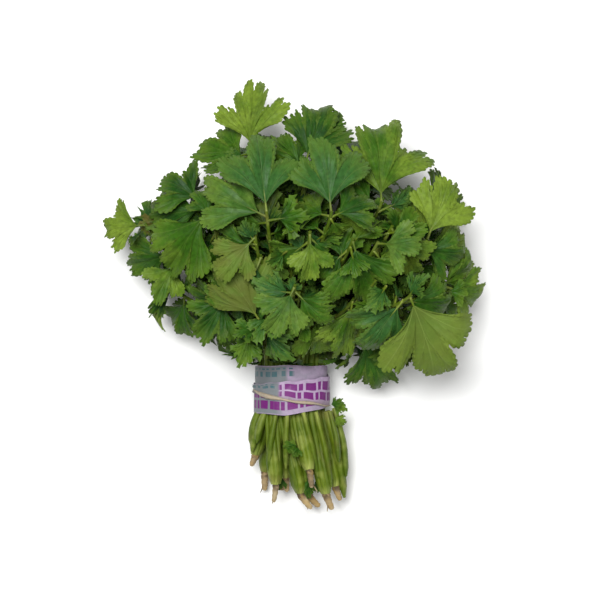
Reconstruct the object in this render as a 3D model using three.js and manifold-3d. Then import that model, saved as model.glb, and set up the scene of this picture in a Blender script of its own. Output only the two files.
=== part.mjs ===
// A bunch of fresh coriander, cut with its roots and lying on its side, held by a wound label strip.
// Millimetres. +Y runs along the bunch from the cut roots to the leaf tips, +X is its right side seen
// from above and +Z is up. The bunch rests on the plane z = 0.
import * as THREE from "three";
import { mergeVertices } from "three/addons/utils/BufferGeometryUtils.js";
import Module from "manifold-3d";

const wasm = await Module();
wasm.setup();

// Driving dimensions of the tied neck
const neckX = -5.5; // the neck's middle, a little left of the bunch's
const neckHalfWidth = 21.8;
const neckHalfHeight = 17.4;
const neckHeight = 19.8; // height of the neck's centre above the table
const neckEnd = 17; // the stalks run straight for this far each side of the strip's middle

// Driving dimensions of a stalk
const stalkSides = 5;
const stalkRadius = { root: 2.1, neck: 1.9, middle: 1.5, tip: 0.95 };
const clusterRadius = 2.45; // from a plant's centre line to each of its three stalks
const gatherRadius = 1.5; // the same at the root crown, where they fuse
const crownSpan = 20; // mean length of one straight piece of a stalk in the leafy crown

// Driving dimensions of a leaf blade
const bladeHalf = 0.4;
const handleHalf = 0.6;
const handleLength = 6;
const toothDepth = 0.075;
const ruffleWaves = 5;

// Driving dimensions of the root crowns and the cut tap roots
const crownRadius = { top: 3.9, end: 3.3 };
const crownLength = 9;
const rootRadius = { top: 2.7, end: 1.9 };
const rootGap = 0.3;

// Driving dimensions of the wound strip
const stripThickness = 0.5;
const stripWidth = 18.5;
const stripPitch = 0.85; // how far each turn lies outside the turn before
const stripSteps = 20; // straight pieces in one turn

// The rounded body that the leaves lie on, used to face each blade outwards
const crownCentre = [3, 78, 46];
const crownHalf = [122, 112, 56];
const lightLean = { from: 14, full: 38, most: 1.7 }; // heights between which blades turn up to the light

// Clear distances between blades and stalks
const samplePitch = 2.6;
const bladeReach = 1.5;
const stalkReach = 0.3;
const rootZone = 7; // near its own root a blade may touch its own stalk
const stripClear = [neckHalfWidth + 8, 17]; // blades stay out of this half width and half length round the strip

// Lobes of a blade: middle angle, half angle, length and how far the notches beside it reach out
const lobeKinds = {
  broad: { side: [50, 26, 0.84], middle: [0, 24, 1], notch: 0.66, wedge: 0.34 },
  fan: { side: [46, 25, 0.92], middle: [0, 21, 1], notch: 0.8, wedge: 0.4 },
  deep: { side: [48, 22, 0.8], middle: [0, 26, 1], notch: 0.46, wedge: 0.36 },
};
const kindNames = ["broad", "fan", "deep"];

// Every plant: its place in the neck (x, z from the centre), the end of its root crown, the length and lean of its
// cut tap root, and its three stalks. A stalk has its tip and its blades: distance back from the tip, heading in
// the table's plane, length and kind of lobes.
const plants = [
  { neck: [-12.6, 8.6], foot: [-10, -60, 29], root: [12, -2], stalks: [
    { tip: [-21, 44, 60], blades: [[0, 240, 25, 0], [5, 300, 20, 1], [10, 190, 22, 0]] },
    { tip: [-24, 44, 78], blades: [[0, 122, 40, 1], [8, 222, 27, 0]] },
    { tip: [-27, 96, 92], blades: [[0, 226, 28, 0], [7, 176, 24, 0], [12, 290, 23, 2]] } ] },
  { neck: [-4.2, 8.6], foot: [5.6, -66, 25], root: [11, 5], stalks: [
    { tip: [-3, 66, 92], blades: [[0, 245, 26, 0], [6, 300, 22, 2], [13, 170, 22, 0]] },
    { tip: [-20, 110, 94], blades: [[0, 97, 44, 1], [4, 152, 42, 1], [8, 190, 26, 2]] },
    { tip: [19, 110, 98], blades: [[0, 96, 40, 1], [4, 176, 32, 0], [5, 25, 27, 0]] } ] },
  { neck: [4.2, 8.6], foot: [11.4, -50, 37], root: [12, -1], stalks: [
    { tip: [9, 50, 74], blades: [[0, 285, 28, 0], [6, 235, 23, 0], [12, 350, 22, 0]] },
    { tip: [6, 98, 95], blades: [[0, 272, 24, 0], [8, 215, 24, 2]] },
    { tip: [32, 94, 92], blades: [[0, 285, 36, 1], [6, 15, 22, 0], [10, 220, 20, 0]] } ] },
  { neck: [12.6, 8.6], foot: [22, -66, 28], root: [11, 2], stalks: [
    { tip: [33, 58, 74], blades: [[0, 262, 30, 2], [8, 20, 22, 0]] },
    { tip: [47, 92, 90], blades: [[0, 2, 24, 0], [6, 300, 27, 1], [12, 60, 24, 0]] },
    { tip: [67, 60, 90], blades: [[0, 293, 56, 0], [7, 236, 38, 0], [8, 350, 30, 0]] } ] },
  { neck: [-17, 0], foot: [-23, -42, 21], root: [8, -1], stalks: [
    { tip: [-44, 62, 64], blades: [[0, 236, 29, 0], [7, 190, 24, 0], [12, 285, 20, 0]] },
    { tip: [-56, 112, 82], blades: [[0, 232, 44, 1], [9, 150, 25, 0], [16, 270, 26, 0]] },
    { tip: [-97, 105, 50], blades: [[0, 182, 26, 2], [9, 225, 22, 0], [14, 140, 24, 0]] } ] },
  { neck: [-8.5, 0], foot: [-4, -57, 16], root: [10, 0], stalks: [
    { tip: [-60, 118, 64], blades: [[0, 142, 28, 0], [6, 185, 32, 2]] },
    { tip: [-31, 150, 70], blades: [[0, 92, 39, 2], [7, 158, 32, 0], [12, 30, 24, 0]] },
    { tip: [-80, 86, 56], blades: [[0, 190, 28, 2], [6, 245, 24, 0]] } ] },
  { neck: [0, 0], foot: [11, -68, 14.5], root: [9, 5], stalks: [
    { tip: [3, 142, 66], blades: [[0, 72, 36, 2], [7, 120, 25, 0], [10, 20, 26, 0]] },
    { tip: [-10, 122, 54], blades: [[0, 105, 32, 0], [8, 60, 26, 0]] },
    { tip: [6, 86, 74], blades: [[0, 250, 26, 2], [7, 195, 24, 0], [12, 310, 22, 2]] } ] },
  { neck: [8.5, 0], foot: [18.8, -57, 15.5], root: [10, 2], stalks: [
    { tip: [50, 117, 80], blades: [[0, 90, 50, 2], [5, 150, 26, 0], [9, 215, 24, 0]] },
    { tip: [78, 94, 78], blades: [[0, 68, 36, 1], [5, 115, 26, 0], [9, 350, 26, 0]] },
    { tip: [56, 102, 84], blades: [[0, 285, 30, 0], [6, 345, 26, 0]] } ] },
  { neck: [17, 0], foot: [28, -62, 21], root: [10, 1], stalks: [
    { tip: [77, 94, 60], blades: [[0, 355, 34, 0], [7, 40, 28, 0], [12, 310, 26, 0]] },
    { tip: [90, 66, 64], blades: [[0, 345, 27, 0], [5, 30, 27, 0], [10, 310, 26, 0]] },
    { tip: [40, 34, 46], blades: [[0, 296, 31, 2], [5, 345, 22, 0], [9, 240, 20, 0]] } ] },
  { neck: [-12.6, -8.6], foot: [-17, -54, 8.5], root: [13, 1], stalks: [
    { tip: [-78, 64, 50], blades: [[0, 193, 30, 1], [8, 250, 25, 0]] },
    { tip: [-54, 58, 36], blades: [[0, 232, 31, 0], [8, 290, 24, 0]] },
    { tip: [-72, 118, 30], blades: [[0, 165, 33, 0], [8, 210, 27, 0], [15, 120, 26, 0]] } ] },
  { neck: [-4.2, -8.6], foot: [-6, -58, 6.5], root: [9, 0], stalks: [
    { tip: [-38, 84, 5], blades: [[0, 160, 35, 0], [9, 225, 27, 0]] },
    { tip: [-24, 144, 36], blades: [[0, 118, 34, 0], [8, 60, 28, 0], [14, 165, 26, 0]] },
    { tip: [-24, 50, 8], blades: [[0, 205, 26, 0]] } ] },
  { neck: [4.2, -8.6], foot: [6.5, -60, 6.5], root: [9, 1], stalks: [
    { tip: [42, 88, 5], blades: [[0, 25, 35, 0], [9, 330, 27, 0]] },
    { tip: [32, 138, 40], blades: [[0, 80, 34, 0], [8, 125, 26, 0], [12, 30, 30, 0]] },
    { tip: [6, 112, 8], blades: [[0, 96, 33, 0], [9, 140, 22, 0]] } ] },
  { neck: [12.6, -8.6], foot: [29, -50, 10], root: [8, 1], stalks: [
    { tip: [96, 84, 48], blades: [[0, 12, 22, 2], [6, 320, 24, 0], [12, 50, 24, 0]] },
    { tip: [60, 40, 18], blades: [[0, 310, 29, 0], [8, 355, 27, 0]] },
    { tip: [82, 112, 34], blades: [[0, 45, 30, 0], [8, 350, 27, 0], [14, 100, 26, 0]] } ] },
];

const degrees = (angle) => (angle * Math.PI) / 180;
const mix = (a, b, t) => a + (b - a) * t;
const mixPoint = (a, b, t) => [0, 1, 2].map((i) => mix(a[i], b[i], t));
const vector = (p) => new THREE.Vector3(...p);

// Seeded draws between 0 and 1
const draws = (seed) => {
  let state = seed;
  return () => {
    state = (state * 16807) % 2147483647;
    return state / 2147483647;
  };
};
const draw = draws(20261);

// What is already placed: small balls in cells, so that a new blade or stalk can keep clear of them
const cellSize = 7;
const cells = new Map();
const cellKey = (p, dx = 0, dy = 0, dz = 0) =>
  [Math.floor(p[0] / cellSize) + dx, Math.floor(p[1] / cellSize) + dy, Math.floor(p[2] / cellSize) + dz].join();
const near = [-1, 0, 1];

function addBalls(balls) {
  for (const ball of balls) {
    const key = cellKey(ball.at);
    if (!cells.has(key)) cells.set(key, []);
    cells.get(key).push(ball);
  }
}

function distance(a, b) {
  return Math.hypot(a[0] - b[0], a[1] - b[1], a[2] - b[2]);
}

function isClear(ball, allows) {
  for (const dx of near)
    for (const dy of near)
      for (const dz of near)
        for (const other of cells.get(cellKey(ball.at, dx, dy, dz)) ?? [])
          if (distance(ball.at, other.at) < ball.reach + other.reach && !allows(ball, other)) return false;
  return true;
}

const samePlant = (one, other) => Math.floor(one.owner / 10) === Math.floor(other.owner / 10);

const neckPoint = (plant, y) => [neckX + plant.neck[0], y, neckHeight + plant.neck[1]];
const footPoint = (plant) => [neckX + plant.foot[0], plant.foot[1], plant.foot[2]];

// Stalks: a straight run from the root crown through the neck, then a curve out to the tip
function stalkStations(plant, index, bow) {
  const angle = degrees(90 + index * 120 + (plant.neck[1] < 0 ? 60 : 0));
  const offset = [Math.cos(angle), 0, Math.sin(angle)];
  const low = neckPoint(plant, -neckEnd);
  const crownTop = mixPoint(footPoint(plant), low, 0.06);
  const beside = (p, radius) => p.map((value, i) => value + offset[i] * radius);
  const radii = stalkRadius;
  const stations = [];
  for (const t of [0, 0.45, 1]) {
    const spread = mix(gatherRadius, clusterRadius, Math.min(1, t / 0.45));
    const centre = mixPoint(crownTop, low, t);
    stations.push({ at: beside(centre, spread), radius: mix(radii.root, radii.neck, t) });
  }
  const start = beside(neckPoint(plant, neckEnd), clusterRadius);
  const { tip } = plant.stalks[index];
  const span = distance(start, tip);
  const outward = [tip[0] - start[0], tip[1] - start[1], tip[2] - start[2]].map((value) => value / span);
  const first = [start[0] + bow[0], start[1] + span * 0.42, start[2] + bow[1]];
  const second = tip.map((value, i) => value - (outward[i] * 0.75 + (i === 1 ? 0.25 : 0)) * span * 0.3);
  const count = Math.max(4, Math.round(span / crownSpan));
  for (let i = 0; i <= count; i++) {
    const t = i / count;
    const s = 1 - t;
    const at = [0, 1, 2].map((k) =>
      s * s * s * start[k] + 3 * s * s * t * first[k] + 3 * s * t * t * second[k] + t * t * t * tip[k]);
    const radius = t < 0.5 ? mix(radii.neck, radii.middle, t * 2) : mix(radii.middle, radii.tip, t * 2 - 1);
    stations.push({ at, radius });
  }
  return stations;
}

function stalkBalls(stations, owner) {
  const balls = [];
  for (let i = 1; i < stations.length; i++) {
    const [a, b] = [stations[i - 1], stations[i]];
    const steps = Math.ceil(distance(a.at, b.at) / 2);
    for (let k = 0; k < steps; k++) {
      const t = k / steps;
      balls.push({ at: mixPoint(a.at, b.at, t), reach: mix(a.radius, b.radius, t) + stalkReach / 2, owner });
    }
  }
  return balls;
}

const stalkTries = 200;

function placeStalk(plant, index, owner) {
  for (let attempt = 0; attempt < stalkTries; attempt++) {
    const sway = attempt * 0.25;
    const bow = [sway * (draw() * 2 - 1), sway * (draw() * 2 - 1)];
    const stations = stalkStations(plant, index, bow);
    const balls = stalkBalls(stations, owner);
    const clear = balls.every((ball) =>
      ball.at[2] > ball.reach - stalkReach / 2 && isClear(ball, (one, other) => samePlant(one, other) && one.at[1] < 40));
    if (clear || attempt === stalkTries - 1) {
      if (!clear) console.log("stalk", owner, "is not clear");
      addBalls(balls);
      return stations;
    }
  }
}

// Blades: a plan of corners and triangles in the blade's own plane, x across and y along from its base
function lobeRadius(lobe, share, kind, outerSide) {
  const edge = outerSide ? kind.wedge / lobe[2] : kind.notch / lobe[2];
  return lobe[2] * (1 - (1 - edge) * Math.abs(share) ** 2.4);
}

function bladePlan(kindName, teeth) {
  const kind = lobeKinds[kindName];
  const corners = [];
  const add = (angle, radius) => corners.push([Math.sin(degrees(angle)) * radius, Math.cos(degrees(angle)) * radius]) - 1;
  const triangles = [];
  const chain = [];
  const [rootLeft, rootRight, baseRight, baseLeft] = [0, 1, 2, 3];
  corners.push([0, 0], [0, 0], [0, 0], [0, 0]); // the handle's corners have sizes of their own
  const lobes = [[kind.side[0], kind.side[1], kind.side[2]], kind.middle, [-kind.side[0], kind.side[1], kind.side[2]]];
  let start = add(kind.side[0] + kind.side[1], kind.wedge);
  chain.push(start);
  lobes.forEach((lobe, which) => {
    const centre = add(lobe[0], lobe[2] * 0.56);
    const edge = [start];
    for (let i = 1; i < teeth * 2; i++) {
      const share = 1 - i / teeth; // from 1 on the lobe's right side to -1 on its left
      const isTip = i % 2 === 1;
      const outer = (which === 0 && share > 0) || (which === 2 && share < 0);
      const radius = lobeRadius(lobe, share, kind, outer) * (1 + (isTip ? toothDepth : -toothDepth));
      edge.push(add(lobe[0] + lobe[1] * share, radius));
    }
    const last = which === 2;
    edge.push(add(lobe[0] - lobe[1], last ? kind.wedge : kind.notch));
    for (let i = 1; i < edge.length; i++) triangles.push([centre, edge[i - 1], edge[i]]);
    const end = edge[edge.length - 1];
    const from = which === 2 ? baseLeft : baseRight;
    const to = which === 0 ? baseRight : baseLeft;
    triangles.push([from, start, centre], [to, centre, end]);
    if (which === 1) triangles.push([baseRight, centre, baseLeft]);
    chain.push(...edge.slice(1));
    start = end;
  });
  triangles.push([rootLeft, rootRight, baseRight], [rootLeft, baseRight, baseLeft]);
  return { corners, triangles, rim: [rootRight, baseRight, ...chain, baseLeft, rootLeft] };
}

const plans = {};
for (const kind of kindNames) plans[kind] = { large: bladePlan(kind, 3), small: bladePlan(kind, 2) };

// A point of a blade, off its middle surface by lift, in the object's frame
function bladePoint(blade, corner, lift) {
  const [x, y] = corner;
  const reach = Math.hypot(x, y) / blade.length;
  const wave = blade.ruffle * Math.sin(ruffleWaves * Math.atan2(x, y) + blade.phase) * reach * reach;
  const z = (blade.cup * x * x) / blade.length + wave + lift;
  let [along, up] = [y, z];
  if (y > 0) {
    const turn = (blade.droop * y) / blade.length;
    const bend = blade.length / blade.droop;
    along = (bend + z) * Math.sin(turn);
    up = (bend + z) * Math.cos(turn) - bend;
  }
  const p = [0, 1, 2].map((i) => blade.base[i] + blade.side[i] * x + blade.axis[i] * along + blade.face[i] * up);
  if (blade.lies) p[2] = Math.max(p[2], lift + bladeHalf);
  return p;
}

function bladeCorners(blade) {
  const corners = blade.plan.corners.map(([x, y]) => [x * blade.length * blade.breadth, y * blade.length]);
  corners[0] = [-handleHalf, -blade.handle];
  corners[1] = [handleHalf, -blade.handle];
  corners[2] = [handleHalf, 0];
  corners[3] = [-handleHalf, 0];
  return corners;
}

// The direction square to the leafy body's surface, leaned a little up towards the light
function outwardAt(p) {
  const n = crownHalf.map((half, i) => (p[i] - crownCentre[i]) / (half * half));
  const size = Math.hypot(...n);
  const lean = lightLean.most * Math.min(1, Math.max(0, (p[2] - lightLean.from) / (lightLean.full - lightLean.from)));
  return vector([n[0] / size, n[1] / size, n[2] / size + lean]).normalize();
}

function aimBlade(root, heading, pitch, roll, size) {
  const flat = vector([Math.cos(degrees(heading)), Math.sin(degrees(heading)), 0]);
  const face = outwardAt(root);
  const axis = flat.sub(face.clone().multiplyScalar(flat.dot(face))).normalize();
  const side = axis.clone().cross(face);
  axis.applyAxisAngle(side, degrees(pitch));
  face.applyAxisAngle(side, degrees(pitch));
  side.applyAxisAngle(axis, degrees(roll));
  face.applyAxisAngle(axis, degrees(roll));
  const base = vector(root).addScaledVector(axis, size.handle);
  return { ...size, base: base.toArray(), axis: axis.toArray(), side: side.toArray(), face: face.toArray(), root };
}

function bladeBalls(blade, owner) {
  const corners = bladeCorners(blade).map((corner) => bladePoint(blade, corner, 0));
  const balls = [];
  for (const [a, b, c] of blade.plan.triangles.map((triangle) => triangle.map((i) => corners[i]))) {
    const longest = Math.max(distance(a, b), distance(b, c), distance(c, a));
    const steps = Math.max(1, Math.ceil(longest / samplePitch));
    for (let i = 0; i <= steps; i++)
      for (let k = 0; k <= steps - i; k++) {
        const [s, t] = [i / steps, k / steps];
        balls.push({ at: [0, 1, 2].map((n) => a[n] + (b[n] - a[n]) * s + (c[n] - a[n]) * t), reach: bladeReach, owner });
      }
  }
  return balls;
}

const isOffStrip = ([x, y]) => Math.abs(x - neckX) > stripClear[0] || y > stripClear[1];
const bladeTries = 80;
const missing = [];

function placeBlade(root, heading, length, kindName, owner, large) {
  const size = {
    length,
    breadth: mix(0.84, 1, draw()) - Math.max(0, length - 30) * 0.006,
    cup: mix(-0.1, 0.3, draw()),
    ruffle: mix(0.6, 1.7, draw()) * (length / 35),
    droop: mix(0.2, 0.6, draw()),
    phase: draw() * Math.PI * 2,
    handle: handleLength,
    lies: root[2] < 12,
    plan: plans[kindName][large ? "large" : "small"],
  };
  const sway = length > 33 ? 8 : 20;
  for (let attempt = 0; attempt < bladeTries; attempt++) {
    const loose = attempt / bladeTries;
    const turn = heading + (draw() * 2 - 1) * 50 * loose;
    const pitch = (draw() * 2 - 1) * (sway + 45 * loose);
    const roll = (draw() * 2 - 1) * (sway + 50 * loose);
    const shrink = 1 - 0.35 * Math.max(0, loose * 2 - 1);
    const blade = aimBlade(root, turn, size.lies ? pitch * 0.3 : pitch, size.lies ? roll * 0.3 : roll,
      { ...size, length: length * shrink });
    const balls = bladeBalls(blade, owner);
    const own = (one, other) => other.owner === owner && distance(one.at, root) < rootZone;
    const free = (ball) => ball.at[2] >= bladeHalf - 1e-9 && isOffStrip(ball.at) && isClear(ball, own);
    if (balls.every(free)) {
      addBalls(balls);
      return blade;
    }
  }
  missing.push([owner, heading, length].join());
  return null;
}

// The point of a stalk at a distance back from its tip
function pointBack(stations, back) {
  let left = back;
  for (let i = stations.length - 1; i > 0; i--) {
    const step = distance(stations[i].at, stations[i - 1].at);
    if (left <= step) return mixPoint(stations[i].at, stations[i - 1].at, left / step);
    left -= step;
  }
  return stations[0].at;
}

// Closed solids
function solidOf(corners, triangles) {
  const geometry = new THREE.BufferGeometry();
  geometry.setAttribute("position", new THREE.Float32BufferAttribute(corners.flat(), 3));
  geometry.setIndex(triangles.flat());
  const merged = mergeVertices(geometry, 1e-4);
  return new wasm.Manifold(new wasm.Mesh({
    numProp: 3,
    vertProperties: merged.attributes.position.array,
    triVerts: new Uint32Array(merged.index.array),
  }));
}

// A skin over rings of equal corner count, closed by a flat cap at each end
function loft(rings) {
  const count = rings[0].length;
  const triangles = [];
  for (let i = 1; i < rings.length; i++)
    for (let k = 0; k < count; k++) {
      const [a, b] = [(i - 1) * count + k, (i - 1) * count + ((k + 1) % count)];
      triangles.push([a, b, b + count], [a, b + count, a + count]);
    }
  const last = (rings.length - 1) * count;
  for (let k = 1; k < count - 1; k++) triangles.push([0, k + 1, k], [last, last + k, last + k + 1]);
  const solid = solidOf(rings.flat(), triangles);
  return solid.volume() < 0 ? solidOf(rings.flat(), triangles.map(([a, b, c]) => [a, c, b])) : solid;
}

// Rings square to a path of stations, each with its own radius
function tubeRings(stations, sides) {
  const points = stations.map((station) => vector(station.at));
  const rings = [];
  let across = new THREE.Vector3(0, 0, 1);
  points.forEach((point, i) => {
    const before = points[Math.max(0, i - 1)];
    const after = points[Math.min(points.length - 1, i + 1)];
    const tangent = after.clone().sub(before).normalize();
    across = across.clone().addScaledVector(tangent, -across.dot(tangent)).normalize();
    const other = tangent.clone().cross(across);
    rings.push(Array.from({ length: sides }, (_, k) => {
      const angle = (k / sides) * Math.PI * 2;
      const radius = stations[i].radius;
      return point.clone().addScaledVector(across, Math.cos(angle) * radius)
        .addScaledVector(other, Math.sin(angle) * radius).toArray();
    }));
  });
  return rings;
}

function bladeSolid(blade) {
  const flat = bladeCorners(blade);
  const half = (i) => (i < 2 ? handleHalf : bladeHalf);
  const upper = flat.map((corner, i) => bladePoint(blade, corner, half(i)));
  const lower = flat.map((corner, i) => bladePoint(blade, corner, -half(i)));
  const count = flat.length;
  const { triangles, rim } = blade.plan;
  const skin = triangles.flatMap(([a, b, c]) => [[a, b, c], [a + count, c + count, b + count]]);
  rim.forEach((a, i) => {
    const b = rim[(i + 1) % rim.length];
    skin.push([a + count, b + count, b], [a + count, b, a]);
  });
  return solidOf([...upper, ...lower], skin);
}

function meshOf(name, solid, material) {
  const { numProp, vertProperties, triVerts } = solid.getMesh();
  const geometry = new THREE.BufferGeometry();
  const position = new Float32Array((vertProperties.length / numProp) * 3);
  for (let i = 0; i < position.length / 3; i++) position.set(vertProperties.subarray(i * numProp, i * numProp + 3), i * 3);
  geometry.setAttribute("position", new THREE.BufferAttribute(position, 3));
  geometry.setIndex(new THREE.BufferAttribute(triVerts, 1));
  geometry.computeVertexNormals();
  const mesh = new THREE.Mesh(geometry, material);
  mesh.name = name;
  return mesh;
}

const materials = {
  plant: new THREE.MeshStandardMaterial({ color: 0x4d8033, roughness: 0.5, metalness: 0 }),
  root: new THREE.MeshStandardMaterial({ color: 0xb89c72, roughness: 0.8, metalness: 0 }),
  strip: new THREE.MeshStandardMaterial({ color: 0xd4d9dc, roughness: 0.45, metalness: 0 }),
};

// Every stalk first, then the blades, the longest before the others
const fronds = [];
plants.forEach((plant, p) => plant.stalks.forEach((stalk, index) => {
  const owner = p * 10 + index;
  fronds.push({ plant: p, owner, stalk, stations: placeStalk(plant, index, owner), blades: [] });
}));
const wishes = fronds.flatMap((frond) => frond.stalk.blades.map(([back, heading, length, kind]) =>
  ({ frond, root: pointBack(frond.stations, Math.max(back, 1.5)), heading, length, kind: kindNames[kind] })));
wishes.sort((one, other) => other.length - one.length);
for (const { frond, root, heading, length, kind } of wishes) {
  const blade = placeBlade(root, heading, length, kind, frond.owner, length > 33);
  if (blade) frond.blades.push(blade);
}

function plantSolid(p) {
  const foot = footPoint(plants[p]);
  const above = neckPoint(plants[p], -neckEnd);
  const share = crownLength / distance(foot, above);
  const crown = [{ at: foot, radius: crownRadius.end }, { at: mixPoint(foot, above, share), radius: crownRadius.top }];
  let solid = loft(tubeRings(crown, 6));
  for (const frond of fronds.filter((one) => one.plant === p)) {
    solid = solid.add(loft(tubeRings(frond.stations, stalkSides)));
    for (const blade of frond.blades) solid = solid.add(bladeSolid(blade));
  }
  return solid;
}

function rootSolid(p) {
  const foot = footPoint(plants[p]);
  const down = vector(foot).sub(vector(neckPoint(plants[p], -neckEnd))).normalize();
  const at = (along, lean) => vector(foot).addScaledVector(down, along).add(new THREE.Vector3(lean, 0, 0)).toArray();
  const [length, lean] = plants[p].root;
  return loft(tubeRings([
    { at: at(rootGap, 0), radius: rootRadius.top },
    { at: at(rootGap + 1.5, 0), radius: rootRadius.top },
    { at: at(length * 0.45, lean * 0.3), radius: rootRadius.top * 0.9 },
    { at: at(length, lean), radius: rootRadius.end },
  ], 6));
}

// The wound label strip: three layers over the front, its last end pinched narrow on the left
function stripSolid() {
  const [from, to] = [-9, 49]; // in steps of a turn, from the hidden start to the pinched end
  const middles = [[-9, 4], [5, 6.5], [15, 4], [25, -6.5], [33, -5], [39, -1.5], [49, 0.5]];
  const middleAt = (step) => {
    const i = Math.max(1, middles.findIndex(([at]) => at >= step));
    const [[a, u], [b, v]] = [middles[i - 1], middles[i]];
    return mix(u, v, (step - a) / (b - a));
  };
  const widthAt = (step) => (step < 41 ? stripWidth : mix(stripWidth, 4.5, (step - 41) / 8));
  const rings = [];
  for (let step = from; step <= to; step++) {
    const angle = ((step + 0.5) / stripSteps) * Math.PI * 2;
    const out = 0.35 + (stripPitch * (step - from)) / stripSteps;
    const at = (extra, y) => [
      neckX + Math.cos(angle) * (neckHalfWidth + out + extra), y,
      Math.max(neckHeight + Math.sin(angle) * (neckHalfHeight + out + extra), extra > 0 ? 0 : stripThickness)];
    const [middle, half] = [middleAt(step), widthAt(step) / 2];
    rings.push([at(0, middle - half), at(stripThickness, middle - half),
      at(stripThickness, middle + half), at(0, middle + half)]);
  }
  return loft(rings);
}

const bunch = new THREE.Group();
plants.forEach((plant, p) => {
  const number = String(p + 1).padStart(2, "0");
  bunch.add(meshOf("plant_" + number, plantSolid(p), materials.plant));
  bunch.add(meshOf("root_" + number, rootSolid(p), materials.root));
});
bunch.add(meshOf("label_strip", stripSolid(), materials.strip));

// The origin goes to the middle of the underside
const bounds = new THREE.Box3().setFromObject(bunch);
const middle = bounds.getCenter(new THREE.Vector3());
bunch.children.forEach((mesh) => mesh.geometry.translate(-middle.x, -middle.y, -bounds.min.z));


export default bunch;
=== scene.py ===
# A bunch of fresh coriander with its cut roots, lying on its side, held by a wound label strip
import math

import bpy
import numpy as np
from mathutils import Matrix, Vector, kdtree


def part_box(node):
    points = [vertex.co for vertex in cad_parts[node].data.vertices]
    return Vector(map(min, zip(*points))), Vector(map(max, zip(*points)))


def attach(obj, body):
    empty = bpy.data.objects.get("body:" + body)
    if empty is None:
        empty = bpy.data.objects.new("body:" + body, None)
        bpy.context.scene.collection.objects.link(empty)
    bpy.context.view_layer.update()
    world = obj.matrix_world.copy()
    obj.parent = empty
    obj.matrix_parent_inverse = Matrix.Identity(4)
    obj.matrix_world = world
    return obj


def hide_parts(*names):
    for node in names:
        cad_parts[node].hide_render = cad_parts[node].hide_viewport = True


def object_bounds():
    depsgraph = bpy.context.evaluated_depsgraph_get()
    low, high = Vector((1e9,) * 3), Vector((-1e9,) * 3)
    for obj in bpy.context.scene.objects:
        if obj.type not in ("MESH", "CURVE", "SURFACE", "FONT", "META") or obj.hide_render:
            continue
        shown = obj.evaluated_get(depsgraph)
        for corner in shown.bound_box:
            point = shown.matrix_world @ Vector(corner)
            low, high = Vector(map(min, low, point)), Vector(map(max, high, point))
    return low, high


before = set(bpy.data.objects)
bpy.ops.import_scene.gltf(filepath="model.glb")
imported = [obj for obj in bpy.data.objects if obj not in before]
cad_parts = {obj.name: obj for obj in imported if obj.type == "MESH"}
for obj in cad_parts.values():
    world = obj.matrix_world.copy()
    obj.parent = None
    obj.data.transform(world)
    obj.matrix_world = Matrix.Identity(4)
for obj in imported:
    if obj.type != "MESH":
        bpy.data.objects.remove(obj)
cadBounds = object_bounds()

mm = 0.001  # the plant's sizes are written in millimetres


def mix(a, b, t):
    return a + (b - a) * t


def unit(v):
    return v / np.linalg.norm(v)


def seeded(seed):  # draws between 0 and 1, the same on every run
    state = [seed]

    def draw():
        state[0] = state[0] * 16807 % 2147483647
        return state[0] / 2147483647

    return draw


def turned(v, axis, angle):  # v turned about a unit axis
    c, s = math.cos(angle), math.sin(angle)
    return v * c + np.cross(axis, v) * s + axis * (axis @ v) * (1 - c)


def clearSelection():
    if bpy.context.object and bpy.context.object.mode != "OBJECT":
        bpy.ops.object.mode_set(mode="OBJECT")
    bpy.ops.object.select_all(action="DESELECT")


def coordsOf(mesh):
    flat = np.empty(len(mesh.vertices) * 3)
    mesh.vertices.foreach_get("co", flat)
    return flat.reshape(-1, 3)


# How the bunch grows, with the same numbers as the CAD
neck = {"x": -5.5, "halfWidth": 21.8, "halfHeight": 17.4, "height": 19.8, "end": 17}
stalk = {"root": 2.1, "neck": 1.9, "middle": 1.5, "tip": 0.95, "cluster": 2.45, "gather": 1.5,
         "span": 20, "tries": 200, "reach": 0.3, "apartFrom": 40}
blade = {"half": 0.4, "handle": 6, "tooth": 0.075, "waves": 5, "pitch": 2.6, "reach": 1.5, "rootZone": 7,
         "tries": 80, "clearX": 29.8, "clearY": 17}
leafyBody = {"centre": np.array([3, 78, 46.0]), "half": np.array([122, 112, 56.0]),
             "from": 14, "full": 38, "most": 1.7}
lobeKinds = {  # lobes: middle angle, half angle, length; then how far the notches beside them reach
    "broad": {"side": (50, 26, 0.84), "middle": (0, 24, 1), "notch": 0.66, "wedge": 0.34},
    "fan": {"side": (46, 25, 0.92), "middle": (0, 21, 1), "notch": 0.8, "wedge": 0.4},
    "deep": {"side": (48, 22, 0.8), "middle": (0, 26, 1), "notch": 0.46, "wedge": 0.36},
}
kindNames = ("broad", "fan", "deep")

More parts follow.
